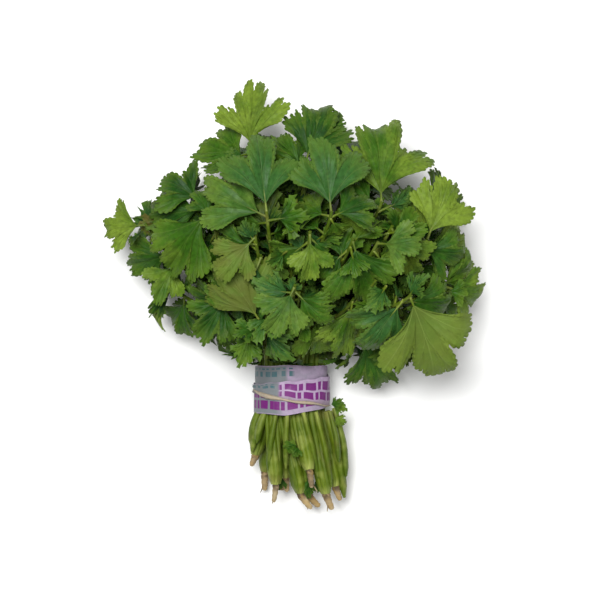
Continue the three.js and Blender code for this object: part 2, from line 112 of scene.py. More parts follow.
# Each plant: place in the neck, end of its root crown, length and lean of its cut root, then its three
# stalks as the tip and the leaves on it: (distance back from the tip, heading, length, kind of lobes)
plants = [
    ((-12.6, 8.6), (-10, -60, 29), (12, -2), (
        ((-21, 44, 60), ((0, 240, 25, 0), (5, 300, 20, 1), (10, 190, 22, 0))),
        ((-24, 44, 78), ((0, 122, 40, 1), (8, 222, 27, 0))),
        ((-27, 96, 92), ((0, 226, 28, 0), (7, 176, 24, 0), (12, 290, 23, 2))))),
    ((-4.2, 8.6), (5.6, -66, 25), (11, 5), (
        ((-3, 66, 92), ((0, 245, 26, 0), (6, 300, 22, 2), (13, 170, 22, 0))),
        ((-20, 110, 94), ((0, 97, 44, 1), (4, 152, 42, 1), (8, 190, 26, 2))),
        ((19, 110, 98), ((0, 96, 40, 1), (4, 176, 32, 0), (5, 25, 27, 0))))),
    ((4.2, 8.6), (11.4, -50, 37), (12, -1), (
        ((9, 50, 74), ((0, 285, 28, 0), (6, 235, 23, 0), (12, 350, 22, 0))),
        ((6, 98, 95), ((0, 272, 24, 0), (8, 215, 24, 2))),
        ((32, 94, 92), ((0, 285, 36, 1), (6, 15, 22, 0), (10, 220, 20, 0))))),
    ((12.6, 8.6), (22, -66, 28), (11, 2), (
        ((33, 58, 74), ((0, 262, 30, 2), (8, 20, 22, 0))),
        ((47, 92, 90), ((0, 2, 24, 0), (6, 300, 27, 1), (12, 60, 24, 0))),
        ((67, 60, 90), ((0, 293, 56, 0), (7, 236, 38, 0), (8, 350, 30, 0))))),
    ((-17, 0), (-23, -42, 21), (8, -1), (
        ((-44, 62, 64), ((0, 236, 29, 0), (7, 190, 24, 0), (12, 285, 20, 0))),
        ((-56, 112, 82), ((0, 232, 44, 1), (9, 150, 25, 0), (16, 270, 26, 0))),
        ((-97, 105, 50), ((0, 182, 26, 2), (9, 225, 22, 0), (14, 140, 24, 0))))),
    ((-8.5, 0), (-4, -57, 16), (10, 0), (
        ((-60, 118, 64), ((0, 142, 28, 0), (6, 185, 32, 2))),
        ((-31, 150, 70), ((0, 92, 39, 2), (7, 158, 32, 0), (12, 30, 24, 0))),
        ((-80, 86, 56), ((0, 190, 28, 2), (6, 245, 24, 0))))),
    ((0, 0), (11, -68, 14.5), (9, 5), (
        ((3, 142, 66), ((0, 72, 36, 2), (7, 120, 25, 0), (10, 20, 26, 0))),
        ((-10, 122, 54), ((0, 105, 32, 0), (8, 60, 26, 0))),
        ((6, 86, 74), ((0, 250, 26, 2), (7, 195, 24, 0), (12, 310, 22, 2))))),
    ((8.5, 0), (18.8, -57, 15.5), (10, 2), (
        ((50, 117, 80), ((0, 90, 50, 2), (5, 150, 26, 0), (9, 215, 24, 0))),
        ((78, 94, 78), ((0, 68, 36, 1), (5, 115, 26, 0), (9, 350, 26, 0))),
        ((56, 102, 84), ((0, 285, 30, 0), (6, 345, 26, 0))))),
    ((17, 0), (28, -62, 21), (10, 1), (
        ((77, 94, 60), ((0, 355, 34, 0), (7, 40, 28, 0), (12, 310, 26, 0))),
        ((90, 66, 64), ((0, 345, 27, 0), (5, 30, 27, 0), (10, 310, 26, 0))),
        ((40, 34, 46), ((0, 296, 31, 2), (5, 345, 22, 0), (9, 240, 20, 0))))),
    ((-12.6, -8.6), (-17, -54, 8.5), (13, 1), (
        ((-78, 64, 50), ((0, 193, 30, 1), (8, 250, 25, 0))),
        ((-54, 58, 36), ((0, 232, 31, 0), (8, 290, 24, 0))),
        ((-72, 118, 30), ((0, 165, 33, 0), (8, 210, 27, 0), (15, 120, 26, 0))))),
    ((-4.2, -8.6), (-6, -58, 6.5), (9, 0), (
        ((-38, 84, 5), ((0, 160, 35, 0), (9, 225, 27, 0))),
        ((-24, 144, 36), ((0, 118, 34, 0), (8, 60, 28, 0), (14, 165, 26, 0))),
        ((-24, 50, 8), ((0, 205, 26, 0),)))),
    ((4.2, -8.6), (6.5, -60, 6.5), (9, 1), (
        ((42, 88, 5), ((0, 25, 35, 0), (9, 330, 27, 0))),
        ((32, 138, 40), ((0, 80, 34, 0), (8, 125, 26, 0), (12, 30, 30, 0))),
        ((6, 112, 8), ((0, 96, 33, 0), (9, 140, 22, 0))))),
    ((12.6, -8.6), (29, -50, 10), (8, 1), (
        ((96, 84, 48), ((0, 12, 22, 2), (6, 320, 24, 0), (12, 50, 24, 0))),
        ((60, 40, 18), ((0, 310, 29, 0), (8, 355, 27, 0))),
        ((82, 112, 34), ((0, 45, 30, 0), (8, 350, 27, 0), (14, 100, 26, 0))))),
]


def neckPoint(plant, y):
    return np.array([neck["x"] + plant[0][0], y, neck["height"] + plant[0][1]], float)


def footPoint(plant):
    return np.array([neck["x"] + plant[1][0], plant[1][1], plant[1][2]], float)


class Room:  # what is already placed, as small balls, so that the next leaf or stalk keeps clear of it
    def __init__(self):
        self.points, self.reach, self.owner, self.tree, self.most = [], [], [], None, 0

    def add(self, points, reach, owner):
        self.points.extend(map(tuple, points))
        self.reach.extend(reach)
        self.owner.extend([owner] * len(points))
        self.most = max(self.most, max(reach))
        self.tree = kdtree.KDTree(len(self.points))
        for i, p in enumerate(self.points):
            self.tree.insert(p, i)
        self.tree.balance()

    def isClear(self, points, reach, allows):
        if self.tree is None:
            return True
        for n, p in enumerate(points):
            for _, i, gap in self.tree.find_range(p, reach[n] + self.most):
                if gap < reach[n] + self.reach[i] and not allows(n, self.owner[i]):
                    return False
        return True


room = Room()
draw = seeded(20261)


def stalkStations(plant, index, bow, fine=1, twist=0, cluster=stalk["cluster"], thin=1):
    angle = math.radians(90 + index * 120 + twist + (60 if plant[0][1] < 0 else 0))
    offset = np.array([math.cos(angle), 0, math.sin(angle)])
    low = neckPoint(plant, -neck["end"])
    crownTop = mix(footPoint(plant), low, 0.06)
    stations = []
    for t in (0, 0.45, 1):
        spread = mix(stalk["gather"], cluster, min(1, t / 0.45))
        radius = mix(stalk["root"], stalk["neck"], t)
        stations.append((mix(crownTop, low, t) + offset * spread, radius * thin))
    start = neckPoint(plant, neck["end"]) + offset * cluster
    tip = np.array(plant[3][index][0], float)
    span = np.linalg.norm(tip - start)
    outward = (tip - start) / span
    first = start + np.array([bow[0], span * 0.42, bow[1]])
    second = tip - (outward * 0.75 + np.array([0, 0.25, 0])) * span * 0.3
    count = max(4, math.floor(span / stalk["span"] + 0.5)) * fine
    for i in range(count + 1):
        t = i / count
        s = 1 - t
        at = s * s * s * start + 3 * s * s * t * first + 3 * s * t * t * second + t * t * t * tip
        lowHalf = mix(stalk["neck"], stalk["middle"], t * 2)
        radius = lowHalf if t < 0.5 else mix(stalk["middle"], stalk["tip"], t * 2 - 1)
        stations.append((at, radius * thin))
    return stations


def placeStalk(plant, index, owner):
    for attempt in range(stalk["tries"]):
        sway = attempt * 0.25
        bow = (sway * (draw() * 2 - 1), sway * (draw() * 2 - 1))
        stations = stalkStations(plant, index, bow)
        points, reach = [], []
        for (a, ra), (b, rb) in zip(stations, stations[1:]):
            steps = math.ceil(np.linalg.norm(b - a) / 2)
            for k in range(steps):
                points.append(mix(a, b, k / steps))
                reach.append(mix(ra, rb, k / steps) + stalk["reach"] / 2)
        aboveTable = all(p[2] > r - stalk["reach"] / 2 for p, r in zip(points, reach))

        def mayTouch(n, other):  # stalks of one plant, below the leaves
            return other // 10 == owner // 10 and points[n][1] < stalk["apartFrom"]

        if aboveTable and room.isClear(points, reach, mayTouch):
            room.add(points, reach, owner)
            return stations, bow
    raise RuntimeError(f"stalk {owner} found no room")


def edgeRadius(lobe, share, kind, outer):
    edge = (kind["wedge"] if outer else kind["notch"]) / lobe[2]
    return lobe[2] * (1 - (1 - edge) * abs(share) ** 2.4)


def sideLobes(kind):
    angle, half, length = kind["side"]
    return ((angle, half, length), kind["middle"], (-angle, half, length))


def bladePlan(kindName, teeth):  # corners and triangles of the plain blade that keeps the leaf's room
    kind = lobeKinds[kindName]
    corners, triangles = [(0, 0)] * 4, []

    def add(angle, radius):
        corners.append((math.sin(math.radians(angle)) * radius, math.cos(math.radians(angle)) * radius))
        return len(corners) - 1

    start = add(kind["side"][0] + kind["side"][1], kind["wedge"])
    for which, lobe in enumerate(sideLobes(kind)):
        centre = add(lobe[0], lobe[2] * 0.56)
        edge = [start]
        for i in range(1, teeth * 2):
            share = 1 - i / teeth
            outer = (which == 0 and share > 0) or (which == 2 and share < 0)
            tooth = blade["tooth"] if i % 2 else -blade["tooth"]
            edge.append(add(lobe[0] + lobe[1] * share, edgeRadius(lobe, share, kind, outer) * (1 + tooth)))
        edge.append(add(lobe[0] - lobe[1], kind["wedge"] if which == 2 else kind["notch"]))
        triangles += [(centre, a, b) for a, b in zip(edge, edge[1:])]
        triangles.append((3 if which == 2 else 2, start, centre))
        triangles.append((2 if which == 0 else 3, centre, edge[-1]))
        if which == 1:
            triangles.append((2, centre, 3))
        start = edge[-1]
    triangles += [(0, 1, 2), (0, 2, 3)]
    return np.array(corners, float), triangles


bladePlans = {name: {True: bladePlan(name, 3), False: bladePlan(name, 2)} for name in kindNames}


def bladePoints(leaf, x, y, lift):  # from the leaf's flat plan to its curved place in the bunch
    reach = np.hypot(x, y) / leaf["length"]
    wave = leaf["ruffle"] * np.sin(blade["waves"] * np.arctan2(x, y) + leaf["phase"]) * reach * reach
    z = leaf["cup"] * x * x / leaf["length"] + wave + lift
    bend = leaf["length"] / leaf["droop"]
    turn = leaf["droop"] * y / leaf["length"]
    along = np.where(y > 0, (bend + z) * np.sin(turn), y)
    up = np.where(y > 0, (bend + z) * np.cos(turn) - bend, z)
    points = leaf["base"] + np.outer(x, leaf["side"]) + np.outer(along, leaf["axis"])
    points += np.outer(up, leaf["face"])
    if leaf["lies"]:
        points[:, 2] = np.maximum(points[:, 2], lift + blade["half"])
    return points


def outwardAt(p):  # square to the leafy body's surface, leaned up towards the light
    n = (p - leafyBody["centre"]) / leafyBody["half"] ** 2
    n = unit(n)
    lean = min(1, max(0, (p[2] - leafyBody["from"]) / (leafyBody["full"] - leafyBody["from"])))
    return unit(n + np.array([0, 0, leafyBody["most"] * lean]))


def aimLeaf(root, heading, pitch, roll, leaf):
    flat = np.array([math.cos(math.radians(heading)), math.sin(math.radians(heading)), 0])
    face = outwardAt(root)
    axis = unit(flat - face * (flat @ face))
    side = np.cross(axis, face)
    axis, face = turned(axis, side, math.radians(pitch)), turned(face, side, math.radians(pitch))
    side, face = turned(side, axis, math.radians(roll)), turned(face, axis, math.radians(roll))
    return dict(leaf, root=root, base=root + axis * leaf["handle"], axis=axis, side=side, face=face)


def leafBalls(leaf):
    corners, triangles = leaf["plan"]
    x, y = corners[:, 0] * leaf["length"] * leaf["breadth"], corners[:, 1] * leaf["length"]
    half = 0.6
    x[:4] = (-half, half, half, -half)
    y[:4] = (-leaf["handle"], -leaf["handle"], 0, 0)
    at = bladePoints(leaf, x, y, np.zeros(len(x)))
    points = []
    for a, b, c in triangles:
        a, b, c = at[a], at[b], at[c]
        longest = max(np.linalg.norm(a - b), np.linalg.norm(b - c), np.linalg.norm(c - a))
        steps = max(1, math.ceil(longest / blade["pitch"]))
        i, k = np.meshgrid(np.arange(steps + 1), np.arange(steps + 1), indexing="ij")
        inside = i + k <= steps
        s, t = i[inside] / steps, k[inside] / steps
        points.append(a + np.outer(s, b - a) + np.outer(t, c - a))
    return np.concatenate(points)


def placeLeaf(root, heading, length, kindName, owner, large):
    leaf = {"length": length, "kind": kindName}
    leaf["breadth"] = mix(0.84, 1, draw()) - max(0, length - 30) * 0.006
    leaf["cup"] = mix(-0.1, 0.3, draw())
    leaf["ruffle"] = mix(0.6, 1.7, draw()) * (length / 35)
    leaf["droop"] = mix(0.2, 0.6, draw())
    leaf["phase"] = draw() * math.pi * 2
    leaf.update(handle=blade["handle"], lies=root[2] < 12, plan=bladePlans[kindName][large])
    sway = 8 if length > 33 else 20
    for attempt in range(blade["tries"]):
        loose = attempt / blade["tries"]
        turn = heading + (draw() * 2 - 1) * 50 * loose
        pitch = (draw() * 2 - 1) * (sway + 45 * loose)
        roll = (draw() * 2 - 1) * (sway + 50 * loose)
        shrink = 1 - 0.35 * max(0, loose * 2 - 1)
        calm = 0.3 if leaf["lies"] else 1
        tried = aimLeaf(root, turn, pitch * calm, roll * calm, dict(leaf, length=length * shrink))
        points = leafBalls(tried)
        if (points[:, 2] < blade["half"] - 1e-9).any():
            continue
        if ((np.abs(points[:, 0] - neck["x"]) <= blade["clearX"]) & (points[:, 1] <= blade["clearY"])).any():
            continue
        close = np.linalg.norm(points - root, axis=1) < blade["rootZone"]
        reach = [blade["reach"]] * len(points)
        if room.isClear(points, reach, lambda n, other: close[n] and other == owner):
            room.add(points, reach, owner)
            return tried
    return None


def pointBack(stations, back):
    for (b, _), (a, _) in zip(stations[::-1], stations[-2::-1]):
        step = np.linalg.norm(b - a)
        if back <= step:
            return mix(b, a, back / step)
        back -= step
    return stations[0][0]


fronds = []
for p, plant in enumerate(plants):
    for index in range(3):
        owner = p * 10 + index
        stations, bow = placeStalk(plant, index, owner)
        fronds.append({"plant": p, "index": index, "owner": owner, "stations": stations, "bow": bow,
                       "leaves": []})
wishes = [(frond, pointBack(frond["stations"], max(back, 1.5)), heading, length, kindNames[kind])
          for frond in fronds for back, heading, length, kind in plants[frond["plant"]][3][frond["index"]][1]]
wishes.sort(key=lambda wish: -wish[3])
for frond, root, heading, length, kind in wishes:
    leaf = placeLeaf(root, heading, length, kind, frond["owner"], length > 33)
    if leaf:
        frond["leaves"].append(leaf)
print("stalks", len(fronds), "leaves", sum(len(f["leaves"]) for f in fronds))

# Pieces are modelled once as patterns and then copied along the bunch
patterns = {}


def putCoords(mesh, at):
    mesh.vertices.foreach_set("co", np.ascontiguousarray(at, dtype=np.float32).ravel())
    mesh.update()


def pointValues(mesh, name, values):
    attribute = mesh.attributes.get(name) or mesh.attributes.new(name, "FLOAT", "POINT")
    attribute.data.foreach_set("value", np.full(len(mesh.vertices), values, dtype=np.float32))


# Leaves: each lobe is cut into smaller lobes, and their edge into rounded teeth
leafShape = {
    "thickness": 0.34, "thinnest": 0.002, "variants": 3, "blunt": 3.6, "bluntOuter": 2.88, "swell": 1.03,
    "baseSqueeze": 0.3, "wedge": 0.8, "wedgeSqueeze": 0.5, "cut": (0.14, 0.34), "outerCut": 0.4,
    "samples": 161, "subLength": {"broad": (0.84, 1.08), "fan": (0.86, 1.08), "deep": (0.94, 1.2)},
    "notch": {"broad": 0.8, "fan": 0.76, "deep": 1.25},
    "parts": {"broad": 3, "fan": 3, "deep": 4},
    "cutDepth": {"broad": 1, "fan": 0.8, "deep": 1.45},
    "toothSize": (0.7, 1.25), "toothFrom": 0.36, "toothFade": 0.25,
    "pleat": 0.07, "billow": 0.075, "tilt": 0.08, "ruffle": 0.03, "rimDrop": 0.09,
}
# Spacing and depth of the teeth, where each is sampled, the rows from base to edge, and whether the blade
# has two sides
leafDetail = {
    "large": (0.083, 0.056, (0, 0.18, 0.4, 0.62, 0.84), (0, 0.15, 0.32, 0.5, 0.68, 0.86, 1), True),
    "fine": (0.115, 0.076, (0, 0.2, 0.5, 0.8), (0, 0.18, 0.38, 0.6, 0.82, 1), True),
    "plain": (0.19, 0.09, (0, 0.5), (0, 0.6, 1), False),
    "coarse": (0.36, 0.11, (0, 0.5), (0, 0.6, 1), False),
}


def rounded(phase, power=2.2):
    return np.sqrt(np.maximum(0, 1 - np.abs(2 * np.asarray(phase) - 1) ** power))


# The smooth edge, the toothed edge and the share across each lobe, from one side of the leaf to the other
def leafOutline(kindName, pitch, depth, steps, chance):
    kind, shape = lobeKinds[kindName], leafShape
    parts, notch = shape["parts"][kindName], kind["notch"] * shape["notch"][kindName]
    phase = np.linspace(0, 1, shape["samples"])
    across = np.abs(1 - 2 * phase)
    part = np.minimum(parts - 1, (phase * parts).astype(int))
    swell = rounded(phase * parts - part, 2.6)
    smooth, toothed, shares = [], [], []
    for which, lobe in enumerate(sideLobes(kind)):
        cut = np.array([mix(*shape["cut"], chance()) for _ in range(parts)]) * shape["cutDepth"][kindName]
        longer = np.array([mix(*shape["subLength"][kindName], chance()) for _ in range(parts)])
        outer = [phase < 0.5, phase < 0, phase > 0.5][which]
        low = np.where(outer, kind["wedge"] * shape["wedge"], notch)
        radius = lobe[2] - (lobe[2] - low) * across ** np.where(outer, shape["bluntOuter"], shape["blunt"])
        cutHere = cut[part] * np.where(outer, shape["outerCut"], 1)
        radius *= (1 + (longer[part] - 1) * swell) * (1 - cutHere * (1 - swell)) * shape["swell"]
        turn = np.radians(lobe[0] + lobe[1] * (1 - 2 * phase))
        turn *= 1 - shape["wedgeSqueeze"] * outer * np.clip(0.9 - radius / lobe[2], 0, 1)
        line = np.stack((np.sin(turn) * radius, np.cos(turn) * radius), axis=1)
        far = np.concatenate(([0], np.cumsum(np.linalg.norm(np.diff(line, axis=0), axis=1))))
        count = max(2, round(far[-1] / pitch))
        at = np.concatenate([np.array(steps) + k for k in range(count)] + [[count]]) / count * far[-1]
        tooth = depth * np.array([mix(*shape["toothSize"], chance()) for _ in range(count)] + [1])
        edge = np.stack([np.interp(at, far, line[:, k]) for k in (0, 1)], axis=1)
        along = np.gradient(edge, axis=0)
        outward = np.stack((-along[:, 1], along[:, 0]), axis=1) / np.linalg.norm(along, axis=1, keepdims=True)
        within = at / far[-1] * count
        height = (rounded(within % 1, 1.7) - 0.55) * tooth[np.minimum(count, within.astype(int))]
        height *= np.clip((np.hypot(edge[:, 0], edge[:, 1]) - shape["toothFrom"]) / shape["toothFade"], 0, 1)
        sign = np.sign((outward * edge).sum(axis=1).mean())
        last = None if which == 2 else -1  # the next lobe begins with this one's last point
        smooth.append(edge[:last])
        toothed.append((edge + outward * (sign * height)[:, None])[:last])
        shares.append(np.interp(at, far, across)[:last])
    return np.concatenate(smooth), np.concatenate(toothed), np.concatenate(shares)


def makeLeafPattern(kindName, detail, chance):
    pitch, depth, steps, rows, isSolid = leafDetail[detail]
    smooth, toothed, share = leafOutline(kindName, pitch, depth, steps, chance)
    rows = np.array(rows)
    clearSelection()
    bpy.ops.mesh.primitive_grid_add(x_subdivisions=len(share) - 1, y_subdivisions=len(rows) - 1, size=1)
    pattern = bpy.context.object
    mesh = pattern.data
    at = coordsOf(mesh)
    column = np.rint((at[:, 0] + 0.5) * (len(share) - 1)).astype(int)
    row = rows[np.rint((at[:, 1] + 0.5) * (len(rows) - 1)).astype(int)]
    rim = np.where(row > 0.99, 1.0, np.where(row > 0.8, 0.35, 0.0))[:, None]
    edge = smooth[column] * (1 - rim) + toothed[column] * rim
    turn = np.arctan2(edge[:, 0], edge[:, 1]) * (1 - leafShape["baseSqueeze"] * (1 - row ** 0.7))
    reach = np.hypot(edge[:, 0], edge[:, 1]) * row
    pleat = leafShape["pleat"] * (share[column] ** 1.5 - 0.4) * row ** 2
    putCoords(mesh, np.stack((np.sin(turn) * reach, np.cos(turn) * reach, pleat), axis=1))
    corner = np.empty(len(mesh.loops), dtype=int)
    mesh.loops.foreach_get("vertex_index", corner)
    mesh.uv_layers.active.name = "leafMap"
    places = np.stack((share[column], row), axis=1)
    mesh.uv_layers.active.data.foreach_set("uv", places[corner].ravel())
    bpy.ops.object.mode_set(mode="EDIT")
    bpy.ops.mesh.select_all(action="SELECT")
    bpy.ops.mesh.remove_doubles(threshold=1e-4)
    bpy.ops.mesh.normals_make_consistent(inside=False)
    bpy.ops.object.mode_set(mode="OBJECT")
    count = len(mesh.vertices)
    side = np.zeros(count)
    if isSolid:
        solid = pattern.modifiers.new("Solidify", "SOLIDIFY")
        solid.thickness, solid.offset = leafShape["thinnest"], 0
        bpy.ops.object.modifier_apply(modifier=solid.name)
        mesh = pattern.data
        at = coordsOf(mesh)
        higher = at[:count, 2] > at[count:, 2]
        side = np.where(np.concatenate((higher, ~higher)), 0.5, -0.5)
        at[:, 2] -= leafShape["thinnest"] * side
        putCoords(mesh, at)
    bpy.ops.object.shade_smooth_by_angle(angle=math.radians(55))
    mesh = pattern.data
    at = coordsOf(mesh)
    pointValues(mesh, "underside", side < 0)
    return pattern, at, side


chance = seeded(4471)
for kindName in kindNames:
    for detail in leafDetail:
        count = leafShape["variants"] if detail in ("large", "fine") else 1
        patterns[kindName, detail] = [makeLeafPattern(kindName, detail, chance) for _ in range(count)]


def copyOf(pattern, name, material):
    copy = bpy.data.objects.new(name, pattern.data.copy())
    copy.data.materials.clear()
    copy.data.materials.append(material)
    bpy.context.collection.objects.link(copy)
    return copy


def leafCopy(leaf, detail, look, material):  # each copy has its own waves, folds and colours
    choices = patterns[leaf["kind"], detail]
    pattern, flat, side = choices[int(leaf["phase"] * 100) % len(choices)]
    copy = copyOf(pattern, "leaf", material)
    reach = np.hypot(flat[:, 0], flat[:, 1])
    turn = np.arctan2(flat[:, 0], flat[:, 1])
    p = leaf["phase"]
    grow = 1 + reach * (0.05 * np.sin(3 * turn + p) + 0.04 * np.sin(7 * turn + 2 * p))
    sweep = reach * reach * (0.07 * np.sin(4 * turn + 3 * p) + 0.05 * math.sin(5 * p))
    x, y = np.sin(turn + sweep) * reach * grow, np.cos(turn + sweep) * reach * grow
    billow = np.sin(4.6 * x + 2 * p) * np.cos(3.9 * y + p) + 0.6 * np.sin(7.5 * x - 5 * y + 3 * p)
    shape = leafShape
    relief = flat[:, 2] + shape["billow"] * billow * np.minimum(1, reach * 1.6)
    relief += shape["ruffle"] * reach ** 3 * np.sin(13 * turn + 4 * p) - shape["rimDrop"] * reach ** 5
    relief += shape["tilt"] * reach ** 2 * np.sin(2 * turn + 5 * p)
    lift = relief * leaf["length"] + side * shape["thickness"]
    at = bladePoints(leaf, x * leaf["length"] * leaf["breadth"], y * leaf["length"], lift)
    at[:, 2] = np.maximum(at[:, 2], shape["thickness"] * (0.5 + side))
    putCoords(copy.data, (at + shift) * mm)
    for name in ("tone", "cool", "wilt"):
        pointValues(copy.data, name, look[name])
    if look.get("turned"):
        pointValues(copy.data, "underside", side > 0)
    return copy


# Stalks, leaf handles, root crowns and cut roots are tubes bent along a path
# Sides and rings
tubes = {"stalk": (10, 46), "handle": (6, 5), "crown": (18, 9), "root": (14, 12), "roll": (8, 40)}


def makeTubePattern(sides, rings):
    clearSelection()
    bpy.ops.mesh.primitive_cylinder_add(vertices=sides, radius=1, depth=1)
    pattern = bpy.context.object
    bpy.ops.object.mode_set(mode="EDIT")
    bpy.ops.mesh.select_mode(type="EDGE")
    bpy.ops.mesh.select_all(action="DESELECT")
    bpy.ops.object.mode_set(mode="OBJECT")
    mesh = pattern.data
    for edge in mesh.edges:
        a, b = (mesh.vertices[i].co for i in edge.vertices)
        edge.select = abs(a.z - b.z) > 0.5
    bpy.ops.object.mode_set(mode="EDIT")
    bpy.ops.mesh.subdivide(number_cuts=rings - 2)
    bpy.ops.object.mode_set(mode="OBJECT")
    bpy.ops.object.shade_smooth_by_angle(angle=math.radians(50))
    mesh = pattern.data
    mesh.uv_layers.remove(mesh.uv_layers[0])
    at = coordsOf(mesh)
    ring = np.rint((at[:, 2] + 0.5) * (rings - 1)).astype(int)
    pointValues(mesh, "along", ring / (rings - 1))
    pointValues(mesh, "foot", 0)
    pointValues(mesh, "tone", 0)
    return pattern, ring, np.arctan2(at[:, 1], at[:, 0]), rings


for name, (sides, rings) in tubes.items():
    patterns[name] = [makeTubePattern(sides, rings)]


def evenPath(stations, count, smoothing=0):  # the stations' places and radii at even steps
    at = np.array([s[0] for s in stations])
    radius = np.array([s[1] for s in stations])
    far = np.concatenate(([0], np.cumsum(np.linalg.norm(np.diff(at, axis=0), axis=1))))
    even = np.linspace(0, far[-1], count)
    path = np.stack([np.interp(even, far, at[:, k]) for k in range(3)], axis=1)
    for _ in range(smoothing):
        path[1:-1] = path[1:-1] * 0.5 + (path[:-2] + path[2:]) * 0.25
    return path, np.interp(even, far, radius)


def pathFrames(path):
    ahead = np.gradient(path, axis=0)
    ahead /= np.linalg.norm(ahead, axis=1, keepdims=True)
    across = np.array([0, 0, 1.0])
    sides = []
    for tangent in ahead:
        across = unit(across - tangent * (across @ tangent))
        sides.append(across)
    return np.array(sides), np.cross(ahead, sides)


def tubeCopy(kind, stations, material, tone=0, ribs=0, ribDepth=0, smoothing=0, bumps=0):
    pattern, ring, angle, rings = patterns[kind][0]
    path, radius = evenPath(stations, rings, smoothing)
    across, other = pathFrames(path)
    ridges = ribDepth * np.cos(ribs * angle) + bumps * np.sin(ring * 2.1 + 3 * angle + tone * 9)
    swell = (radius[ring] * (1 + ridges))[:, None]
    at = path[ring] + across[ring] * np.cos(angle)[:, None] * swell
    at += other[ring] * np.sin(angle)[:, None] * swell
    copy = copyOf(pattern, kind, material)
    putCoords(copy.data, (at + shift) * mm)
    pointValues(copy.data, "tone", tone)
    return copy


# Materials
def newMaterial(name):
    material = bpy.data.materials.new(name)
    material.use_nodes = True
    tree = material.node_tree
    return material, tree, tree.nodes["Principled BSDF"]


def newGroup(name, inputs, outputs):
    group = bpy.data.node_groups.new(name, "ShaderNodeTree")
    for way, sockets in (("INPUT", inputs), ("OUTPUT", outputs)):
        for label, kind in sockets:
            group.interface.new_socket(label, in_out=way, socket_type="NodeSocket" + kind)
    return group, group.nodes.new("NodeGroupInput"), group.nodes.new("NodeGroupOutput")


def wire(tree, source, target):
    if isinstance(source, (int, float, tuple)):
        target.default_value = source
    else:
        tree.links.new(source, target)


def calc(tree, operation, *values, clamp=False):
    node = tree.nodes.new("ShaderNodeMath")
    node.operation, node.use_clamp = operation, clamp
    for value, socket in zip(values, node.inputs):
        wire(tree, value, socket)
    return node.outputs[0]


def ramp(tree, value, low, high, outLow=0.0, outHigh=1.0, smooth=True):
    node = tree.nodes.new("ShaderNodeMapRange")
    node.interpolation_type = "SMOOTHSTEP" if smooth else "LINEAR"
    for source, socket in zip((value, low, high, outLow, outHigh), node.inputs):
        wire(tree, source, socket)
    return node.outputs[0]


def blend(tree, factor, a, b, kind="MIX"):
    node = tree.nodes.new("ShaderNodeMix")
    node.data_type, node.blend_type = "RGBA", kind
    wire(tree, factor, node.inputs[0])
    wire(tree, a, node.inputs[6])
    wire(tree, b, node.inputs[7])
    return node.outputs[2]


def makeUnevenGroup():  # blotches, streaks and grain, raw or spread between two values
    grain, spreading = ("Scale", "Detail", "Roughness"), ("Low", "High", "Least", "Most")
    sockets = [("Place", "Vector"), ("Stretch", "Vector")] + [(label, "Float") for label in grain + spreading]
    group, given, out = newGroup("unevenness", sockets, [("Value", "Float"), ("Raw", "Float")])
    mapping = group.nodes.new("ShaderNodeMapping")
    group.links.new(given.outputs["Place"], mapping.inputs["Vector"])
    group.links.new(given.outputs["Stretch"], mapping.inputs["Scale"])
    texture = group.nodes.new("ShaderNodeTexNoise")
    group.links.new(mapping.outputs[0], texture.inputs["Vector"])
    for label in grain:
        group.links.new(given.outputs[label], texture.inputs[label])
    raw = texture.outputs["Fac"]
    spread = ramp(group, raw, *(given.outputs[label] for label in spreading))
    group.links.new(spread, out.inputs["Value"])
    group.links.new(raw, out.inputs["Raw"])
    return group


unevenGroup = makeUnevenGroup()


def uneven(tree, place, scale, low=0.0, high=1.0, least=0.0, most=1.0, detail=3.0, roughness=0.5,
           stretch=(1, 1, 1)):
    node = tree.nodes.new("ShaderNodeGroup")
    node.node_tree = unevenGroup
    tree.links.new(place, node.inputs["Place"])
    values = {"Stretch": stretch, "Scale": scale, "Detail": detail, "Roughness": roughness,
              "Low": low, "High": high, "Least": least, "Most": most}
    for label, constant in values.items():
        node.inputs[label].default_value = constant
    return node.outputs


def objectCoords(tree):
    return tree.nodes.new("ShaderNodeTexCoord").outputs["Object"]


def value(tree, name):
    node = tree.nodes.new("ShaderNodeAttribute")
    node.attribute_name = name
    return node.outputs["Fac"]


def bump(tree, shader, height, strength, distance):
    node = tree.nodes.new("ShaderNodeBump")
    node.inputs["Strength"].default_value = strength
    node.inputs["Distance"].default_value = distance
    tree.links.new(height, node.inputs["Height"])
    tree.links.new(node.outputs[0], shader.inputs["Normal"])


def rgb(r, g, b):
    return (r, g, b, 1.0)


veins = {"main": 0.014, "side": 0.009, "fine": 0.006}


